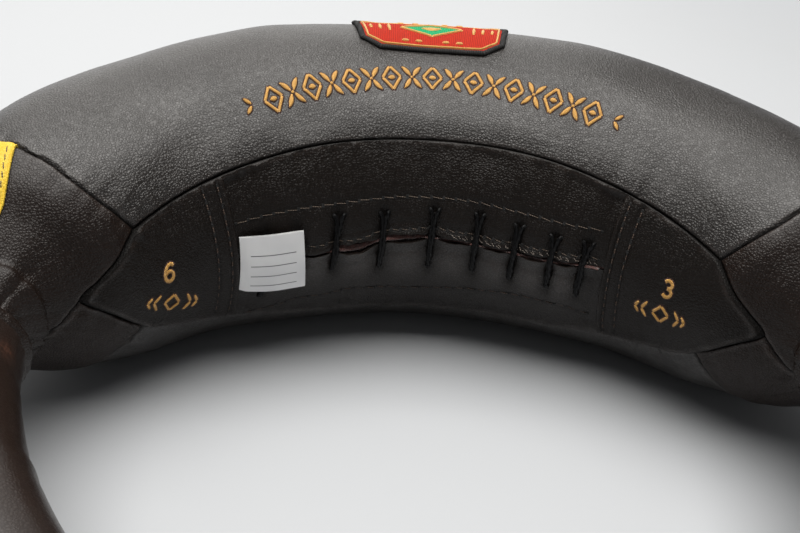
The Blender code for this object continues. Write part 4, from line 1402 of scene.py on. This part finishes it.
def ribbonLabel():
    # one ribbon: the front layer, the fold and the back layer
    piece, u, v = sheetGrid("ribbonLabel", 96, 26)
    near, far = label["foldEnds"]
    front, back = np.clip(u / near, 0, 1), np.clip((u - far) / near, 0, 1)
    bend = np.clip((u - near) / (far - near), 0, 1)
    share = np.where(u < .5, front, 1 - back)
    run = label["left"] + (label["right"] + label["skew"] * v - label["left"]) * share
    low = label["low"] + label["lowRise"] * share
    angle = label["top"] + label["topRise"] * share + (low - label["top"]) * v
    # the left end is sewn down beside the lap; the fold stands a little off the lace
    rise = label["stand"] * np.sin(np.pi / 2 * np.minimum(1, share / .62)) - label["sunk"]
    bow = .0003 * np.sin(np.pi * v) * ease(share / .2) + .0005 * (np.abs(v - .5) * 2) ** 3 * share
    layer = np.where(u < .5, label["fold"], 0.0) * ease(share / .1) * (1 - .3 * share)
    turning = label["fold"] * .7 * (.5 + .5 * np.cos(np.pi * bend))
    layer = np.where((u >= near) & (u <= far), turning, layer)
    layer = layer + np.where(u < .5, label["between"], 0.0)
    run = run + label["loop"] * np.sin(np.pi * bend) * .45
    shape(piece, place(run, angle, rise + bow + layer), np.stack([u, v], 1) * label["map"])
    thicken(piece, label["thick"], 0)
    finishPiece(piece, whiteSatin, "label", ["care_label"], smooth=50)
    area = sum(face.area for face in piece.data.polygons) / 2
    wide = label["wide"]
    round(area / wide, 4)
    print("label area", round(area * 1e6), "mm2")


ribbonLabel()

# a thread's section over its leather: across and up, from -1 to 1
section = np.array([(-1, -.6), (-.86, .45), (-.5, .9), (0, 1), (.5, .9), (.86, .45), (1, -.6)])


def satinStitch(name, strokes, toPlace, high, material, lift, widen=0.0, stretch=0.0):
    grids, flats = [], []
    for path, wide in strokes:
        path = np.array(path, float)
        wide = np.broadcast_to(np.asarray(wide, float), (len(path),)) + widen
        ahead = np.gradient(path, axis=0)
        ahead /= np.maximum(np.linalg.norm(ahead, axis=1), 1e-9)[:, None]
        path[0] -= ahead[0] * stretch
        path[-1] += ahead[-1] * stretch
        square = np.stack([-ahead[:, 1], ahead[:, 0]], 1)
        rise = np.ones(len(path))
        rise[0] = rise[-1] = -.2
        offset = section[None, :, 0] * wide[:, None] / 2
        points = path[:, None, :] + square[:, None, :] * offset[..., None]
        run, angle = toPlace(points[..., 0], points[..., 1])
        heights = lift + high * np.minimum(section[None, :, 1], rise[:, None])
        grids.append(onSkin(run, angle, heights)[0])
        flats.append(np.stack(np.broadcast_arrays(along(path)[:, None], offset), -1))
    return finishPiece(meshFrom(name, grids, flats), material, "bag", smooth=70)


def taper(count, start=.1, stop=.9, power=1):
    # widths along a stroke, fullest near its middle
    return np.sin(np.pi * np.linspace(start, stop, count)) ** power


def loopStrokes(corners, count, wide):
    # a closed outline as one stroke from each corner to the next
    return [(np.linspace(first, last, count), wide)
            for first, last in zip(corners, corners[1:] + corners[:1])]


ornament = {
    "middle": [(-.093, 54.5), (-.062, 58.0), (-.034, 60.8), (0, 63.2), (.035, 61.0), (.065, 58.2),
               (.093, 57.0)],
    "half": .0925, "units": 9, "lozenge": (.0046, .0062),
    "radius": .068,      # angles become lengths on this radius
    "thread": .0016, "seed": (.0018, .0026), "bead": [.0008, .0015, .0017, .0015, .0008],
    "leaf": .0024, "endLeaf": .0020, "endGap": .0012,
}


def bandPlace(x, y):
    # x along the band and y across it, in metres on the leather, to a place on the bag
    before, middle, after = (
        curveThrough(ornament["middle"], x + step) for step in (-.002, 0, .002))
    lean = math.radians(1) * (after - before) / .004 * ornament["radius"]
    return x - lean * y, middle + np.degrees(y / ornament["radius"])


def bandStrokes():
    # lozenges with a seed in the middle, and four leaves round a bead between each two
    strokes = []
    half, units = ornament["half"], ornament["units"]
    pitch = 2 * half / units
    a, b = ornament["lozenge"]
    reach, seedWide = ornament["seed"]
    for i in range(units):
        x = -half + pitch * (i + .5)
        strokes += loopStrokes([(x - a, 0), (x, b), (x + a, 0), (x, -b)], 8, ornament["thread"])
        seed = np.linspace((x - reach, 0), (x + reach, 0), 7)
        strokes.append((seed, seedWide * taper(7, .08, .92)))
    for i in range(units - 1):
        x = -half + pitch * (i + 1)
        for sx, sy in ((-1, 1), (1, 1), (-1, -1), (1, -1)):
            t = np.linspace(0, 1, 10)
            path = np.stack([x + sx * (.0008 + .0026 * t + .0012 * t**2),
                             sy * (.0006 + .0062 * t - .0008 * t**2)], 1)
            strokes.append((path, ornament["leaf"] * taper(10, .05, .98, .8)))
        strokes.append((np.linspace((x - .0008, 0), (x + .0008, 0), 5), ornament["bead"]))
    for end in (-1, 1):
        x = end * (half + ornament["endGap"])
        for sy in (1, -1):
            path = np.linspace((x, sy * .0004), (x + end * .0032, sy * .0038), 9)
            strokes.append((path, ornament["endLeaf"] * taper(9, .05, .98, .8)))
    return strokes


band = bandStrokes()
satinStitch("ornamentOutline", band, bandPlace, .00026, outlineThread, .00002,
            widen=.0012, stretch=.0006)
satinStitch("ornamentBand", band, bandPlace, .00052, goldThread, .00012)

marks = {
    "left": {"figure": "6", "at": (-.1690, 2.0), "sign": (-.1668, -12.6), "lean": -13,
             "high": .0074},
    "right": {"figure": "3", "at": (.1600, 4.0), "sign": (.1588, -8.0), "lean": 2,
              "high": .0070},
    "wide": .0017, "signHigh": .0066,
    "short": .64, "radius": .056,        # length for one of run there, and radius for angles
    "arrow": [.0013, .0015, .0016, .0015, .0014, .0011, .0007],
}
# strokes of a figure one high
figures = {
    "6": [[(.56, .86), (.42, .98), (.22, .92), (.06, .66), (.03, .36), (.12, .10), (.32, 0),
           (.52, .08), (.61, .28), (.55, .48), (.36, .57), (.16, .50), (.06, .34)]],
    "3": [[(.06, .86), (.22, .99), (.44, .97), (.57, .80), (.50, .60), (.28, .53)],
          [(.28, .53), (.50, .47), (.61, .27), (.50, .06), (.26, 0), (.04, .13)]],
}


def figureStrokes(figure, high):
    middle = np.array([.32, .5]) * high
    return [(smoothed(np.array(route) * high, 8 + 3 * len(route)) - middle, marks["wide"])
            for route in figures[figure]]


def signStrokes(scale):
    # a small lozenge between two pairs of arrowheads
    a, b = .0036 * scale, .0034 * scale
    strokes = loopStrokes([(-a, 0), (0, b), (a, 0), (0, -b)], 7, .0014)
    for side in (-1, 1):
        for step in (0, 1):
            x, tall = side * (.0088 + .0030 * step) * scale, (.0034 - .0010 * step) * scale
            for sy in (-1, 1):
                path = np.linspace((x, 0), (x - side * tall * .75, sy * tall), 7)
                strokes.append((path, marks["arrow"]))
    return strokes


def sewnMark(name, strokes, at, lean):
    turn = math.radians(lean)

    def toPlace(x, y):
        x, y = x * math.cos(turn) - y * math.sin(turn), x * math.sin(turn) + y * math.cos(turn)
        return at[0] + x / marks["short"], at[1] + np.degrees(y / marks["radius"])

    satinStitch(name + "Outline", strokes, toPlace, .00024, outlineThread, .00002,
                widen=.0010, stretch=.0005)
    satinStitch(name, strokes, toPlace, .0005, goldThread, .0001)


for word in ("left", "right"):
    mark = marks[word]
    figure = figureStrokes(mark["figure"], mark["high"])
    sign = signStrokes(mark["high"] / marks["signHigh"])
    sewnMark(word + "Figure", figure, mark["at"], mark["lean"])
    sewnMark(word + "Sign", sign, mark["sign"], mark["lean"])
print("embroidery made")

patch = {
    "angle": 97.0, "radius": .0685, "half": (.033, .024), "cut": .008,
    "rim": .0026, "rimHigh": (.0007, .00105), "pitch": .00115,
    "under": .0016,      # the ground's edge, from the outer edge of the rim
    "ground": .0010, "thick": .0008,
    "line": .0012, "lineWide": .0010,
    "diamond": (.0125, .0175), "frame": (.0135, .0097), "frameWide": .0012, "seed": (.0045, .0055),
    "bars": {"at": .0185, "pitch": .0040, "tall": .0050, "less": .0012, "wide": .0015},
    "dashes": {"pitch": .0062, "level": .0158, "reach": .0016, "wide": .0020},
}


def patchPlace(x, y):
    return x, patch["angle"] + np.degrees(y / patch["radius"])


def patchEdge(inset, count):
    w, h, cut = patch["half"][0] - inset, patch["half"][1] - inset, patch["cut"] - inset * .4
    corners = [(w, h - cut), (w - cut, h), (cut - w, h), (-w, h - cut), (-w, cut - h),
               (cut - w, -h), (w - cut, -h), (w, cut - h), (w, h - cut)]
    loop = evenly(np.array(corners), count)
    for again in range(3):
        loop[1:-1] = (loop[:-2] + 2 * loop[1:-1] + loop[2:]) / 4
    return loop


def patchGround():
    piece, u, v = sheetGrid("patchGround", 66, 48)
    w, h = (half - patch["under"] for half in patch["half"])
    y = (v * 2 - 1) * h
    x = (u * 2 - 1) * (w - np.maximum(0, np.abs(y) - (h - patch["cut"] + patch["under"] / 2)))
    run, angle = patchPlace(x, y)
    spots, ways = onSkin(run, angle, patch["ground"])
    shape(piece, spots, np.stack([x, y], 1))
    thicken(piece, patch["thick"])
    outwards(piece)
    return finishPiece(piece, redCloth, "bag", ["patch_ground"])


def patchRim():
    # overlocked edge: slanting threads wrapped over the rim
    loop = patchEdge(patch["rim"] / 2, 900)[:-1]
    ahead = np.roll(loop, -3, 0) - np.roll(loop, 3, 0)
    ahead /= np.linalg.norm(ahead, axis=1)[:, None]
    square = np.stack([ahead[:, 1], -ahead[:, 0]], 1)
    length = along(loop)[:, None]
    turns = np.linspace(0, 2 * np.pi, 14, endpoint=False)
    across, rise = np.cos(turns)[None], np.sin(turns)[None]
    wrap = .92 + .16 * np.abs(np.sin(np.pi * (length / patch["pitch"] + across * .55))) ** .6
    offset = across * patch["rim"] / 2 * wrap
    flat = loop[:, None, :] + square[:, None, :] * offset[..., None]
    run, angle = patchPlace(flat[..., 0], flat[..., 1])
    base, high = patch["rimHigh"]
    grid = onSkin(run, angle, base + high * rise * wrap)[0]
    flats = np.stack(np.broadcast_arrays(length, across * .0013), -1)
    grid = np.vstack([grid, grid[:1]])
    flats = np.vstack([flats, flats[:1] + [[length[-1, 0] - length[0, 0], 0]]])
    piece = meshFrom("patchRim", [grid], [flats], wrap=True)
    applied(piece, "WELD", "closed", merge_threshold=.00001)
    outwards(piece)
    return finishPiece(piece, blackThread, "bag", ["patch_border"], smooth=80)


def filledStroke(half, wide, count):
    # a lozenge as one wide stroke
    x = np.linspace(-1, 1, count)
    return np.stack([half * x, 0 * x], 1), wide * (1 - np.abs(x)) + .0002


def patchMotif():
    gold = [(patchEdge(patch["rim"] + patch["line"], 260), patch["lineWide"])]
    a, b = patch["frame"]
    gold += loopStrokes([(-a, 0), (0, b), (a, 0), (0, -b)], 22, patch["frameWide"])
    bars, dashes = patch["bars"], patch["dashes"]
    for side in (-1, 1):
        for step in range(3):
            x, tall = side * (bars["at"] + bars["pitch"] * step), bars["tall"] - bars["less"] * step
            path = np.linspace((x, -tall), (x, tall), 12)
            gold.append((path, bars["wide"] * taper(12, power=.6)))
    for level in (-1, 1):
        for step in (-2, -1, 1, 2):
            x, y = dashes["pitch"] * step, dashes["level"] * level
            path = np.linspace((x - dashes["reach"], y), (x + dashes["reach"], y), 7)
            gold.append((path, dashes["wide"] * taper(7)))
    green, seed = [filledStroke(*patch["diamond"], 30)], [filledStroke(*patch["seed"], 14)]
    satinStitch("patchGreen", green, patchPlace, .0003, greenCloth, .0011)
    satinStitch("patchGold", gold, patchPlace, .0005, goldThread, .0012)
    satinStitch("patchSeed", seed, patchPlace, .0004, goldThread, .0015)


patchGround()
patchRim()
patchMotif()
print("patch made")

strip = {
    "runs": (.1957, .2325), "low": 84.5, "fall": 420, "lowest": 76, "high": 106,
    "wide": .022, "lift": .0012, "edge": (.0007, .0009), "groove": (.0003, .0028, .0007),
    "thick": .0010, "sewnRuns": (.199, .231), "sewnIn": 3.2,
}


def stripLow(run):
    # angle of the strip's lower edge
    return np.maximum(strip["low"] - (run - strip["runs"][0]) * strip["fall"], strip["lowest"])


def accentStrip(word, side):
    piece, u, v = sheetGrid(word + "Strip", 60, 40)
    start, stop = strip["runs"]
    run = start + (stop - start) * u
    low = stripLow(run)
    angle = low + (strip["high"] - low) * packed(v, .7)
    spots, ways = onSkin(side * run, angle)
    edge = np.minimum(v, 1 - v) * strip["wide"]
    depth, reach = strip["edge"]
    lift = strip["lift"] - depth * (1 - np.clip(edge / reach, 0, 1)) ** 2
    depth, middle, reach = strip["groove"]
    lift = lift - depth * hill(edge - middle, reach)
    shape(piece, spots + ways * lift[:, None])
    faceOut(piece, side * run, angle)
    keepSkin(piece)
    edges = np.clip(1 - edge / .0012, 0, 1)
    paint(piece, "litAndRubbed", .3 * edges)
    paint(piece, "paintedShade", 0 * edges)
    paint(piece, "polish", .25 - .2 * edges)
    thicken(piece, strip["thick"])
    return finishPiece(piece, yellowLeather, "bag", [word + "_accent_strip"])


for word, side in bothSides:
    accentStrip(word, side)
skinTree = BVHTree.FromPolygons(skinPoints, skinFaces)
stripSpots = []
runs = np.linspace(*strip["sewnRuns"], 30)
low = stripLow(runs)
for side in (-1, 1):
    for angles in (low + strip["sewnIn"], strip["high"] - strip["sewnIn"] + 0 * low):
        stripSpots += rowSpots("strip", side * runs, angles, holed=False)
copies("stripStitches", stripSpots, tanThread)
print("strips made")

fillings = {
    "wool": {"material": rawWool, "shrink": .0052, "lump": .0009, "size": .006, "fill": .8},
    "sand_cloth": {"material": sandCloth, "shrink": .0002, "lump": .0008, "size": .012, "fill": .9},
    "core": {"material": rawWool, "shrink": .0009, "lump": .0004, "size": .005, "fill": .9},
    "neckKeep": .012, "neckEase": .02,       # the wool isn't drawn in where it fills the necks
}
twine = {"radius": .0008, "start": .2437, "width": .0034, "round": .0127, "turns": 4}


def fluffed(node, name, kind, body):
    # a copy of the CAD filling, drawn in and given the uneven face of packed stuffing
    look = fillings[kind]
    source = frame["nodes"][node]
    piece = bpy.data.objects.new(name, source.data.copy())
    bpy.context.scene.collection.objects.link(piece)
    for key in list(piece.keys()):
        del piece[key]
    applied(piece, "WELD", "merged", merge_threshold=.00002)
    applied(piece, "SUBSURF", "rounded", levels=1, render_levels=1)
    points = pointsOf(piece).copy()
    ways = np.empty(len(points) * 3)
    piece.data.vertices.foreach_get("normal", ways)
    drawn = look["shrink"]
    if kind == "wool":
        hinges = [placeRound(side * bag["hinge"], 0, 0.0) for side in (-1, 1)]
        away = np.minimum(*(np.linalg.norm(points - hinge, axis=1) for hinge in hinges))
        drawn = drawn * ease((away - fillings["neckKeep"]) / fillings["neckEase"])
    depth = -drawn + look["lump"] * (softNoise(points, look["size"], 71) - .6)
    shape(piece, points + ways.reshape(-1, 3) * np.reshape(depth, (-1, 1)))
    return finishPiece(piece, look["material"], body, [node], smooth=60)


for node, name in (("wool_filling", "woolFilling"), ("left_horn_filling", "leftHornFilling"),
                   ("right_horn_filling", "rightHornFilling")):
    fluffed(node, name, "wool", "bag")
for word in ("left", "middle", "right"):
    fluffed(word + "_sand_pouch", word + "SandPouch", "sand_cloth", "bag")
for word, side in bothSides:
    fluffed(word + "_handle_core", word + "GripCore", "core", word + "_handle")
    t = np.linspace(0, 1, 140)
    run = side * (twine["start"] + twine["width"] * t)
    route = placeRound(run, 360 * twine["turns"] * t, twine["round"])
    binding = tubes(word + "NeckTwine", [route], twine["radius"], 8)
    finishPiece(binding, tieTwine, "bag", [word + "_neck_tie"], smooth=80)
print("filling made")

studio = {
    "floor": (.425, .437, .456), "farFloor": (.505, .520, .540), "floorRuns": (-.25, .75),
    "backdrop": (.83, .850, .88), "fades": (.62, 1.35), "glow": .95, "world": .13,
    "warm": (1, .98, .945),
    # camera: focal length in pixels of the picture, place in metres, turns in radians
    "lens": 970.11, "pixels": 800, "sensor": 36, "place": (-.02512, -.31051, .27964),
    "yaw": .04479, "pitch": .56906, "roll": .07687,
    # lamps: place, turns in degrees, size and power
    "lamps": {
        "overhead": ((-.08, -.02, 1.35), (-4, 0, 0), (1.45, 1.2), 34.5),
        "backTop": ((-.34, .78, 1.15), (-24, 0, 0), (1.25, .7), 5.6),
        "backBox": ((-.34, 1.65, .62), (-78, 0, 11), (1.9, 1.1), 8.0),
    },
}


def stageAndLight():
    bpy.ops.mesh.primitive_plane_add(size=14, location=(0, 0, -.0002))
    floor = current("floor")
    f = Finish("paleFloor", Roughness=.6, Specular_IOR_Level=.25)
    depth = f.node("ShaderNodeSeparateXYZ", {}, {"Vector": f.spot()}, "Y")
    # the floor's grey is painted lighter towards the back, a painted brightness gradient
    grey = f.blend(f.between(depth, *studio["floorRuns"]), studio["floor"], studio["farFloor"])
    grey = f.blend(f.between(f.noise(f.spot(), 3, 2), .3, .7, 0, .03), grey, (.4, .4, .4))
    f.feed(Base_Color=grey)
    # far from the object the floor turns into an even pale background
    away = f.node("ShaderNodeVectorMath", {"operation": "LENGTH"}, {0: f.spot()}, "Value")
    glowing = {"Color": (*studio["backdrop"], 1), "Strength": studio["glow"]}
    lit = Value(f.node, f.shader.outputs[0])
    fading = f.between(away, *studio["fades"]) * f.seenBy("Camera", "Glossy", "Transmission")
    f.ends("Material Output", f.node("ShaderNodeMixShader", {}, {
        0: fading, 1: lit, 2: f.node("ShaderNodeEmission", {}, glowing)}))
    floor.data.materials.append(f.material)
    world = bpy.data.worlds.new("studio")
    bpy.context.scene.world = world
    sky = Nodes(world)
    white = {"Color": (1, 1, 1, 1), "Strength": studio["world"]}
    plain, pale = (sky.node("ShaderNodeBackground", {}, look) for look in (white, glowing))
    sky.ends("World Output", sky.node("ShaderNodeMixShader", {}, {
        0: sky.seenBy("Camera", "Transmission"), 1: plain, 2: pale}))
    for name, (at, turn, size, power) in studio["lamps"].items():
        bpy.ops.object.light_add(type="AREA", location=at, rotation=[math.radians(t) for t in turn])
        lamp = bpy.context.object
        lamp.name = name
        lamp.data.shape = "RECTANGLE"
        lamp.data.size, lamp.data.size_y = size
        lamp.data.energy = power
        lamp.data.color = studio["warm"]


def camera():
    yaw, pitch, roll = studio["yaw"], studio["pitch"], studio["roll"]
    level = Vector((math.sin(yaw), math.cos(yaw), 0))
    ahead = level * math.cos(pitch) - Vector((0, 0, math.sin(pitch)))
    right = Vector((math.cos(yaw), -math.sin(yaw), 0))
    up = right.cross(ahead)
    x = right * math.cos(roll) + up * math.sin(roll)
    y = up * math.cos(roll) - right * math.sin(roll)
    bpy.ops.object.camera_add()
    eye = bpy.context.object
    eye.name = "camera"
    turned = Matrix((x, y, -ahead)).transposed().to_4x4()
    eye.matrix_world = Matrix.Translation(studio["place"]) @ turned
    eye.data.sensor_width = studio["sensor"]
    eye.data.lens = studio["lens"] * studio["sensor"] / studio["pixels"]
    eye.data.clip_start = .01
    bpy.context.scene.camera = eye


stageAndLight()
camera()
bpy.context.scene.view_settings.view_transform = "Standard"
print("stage ready")
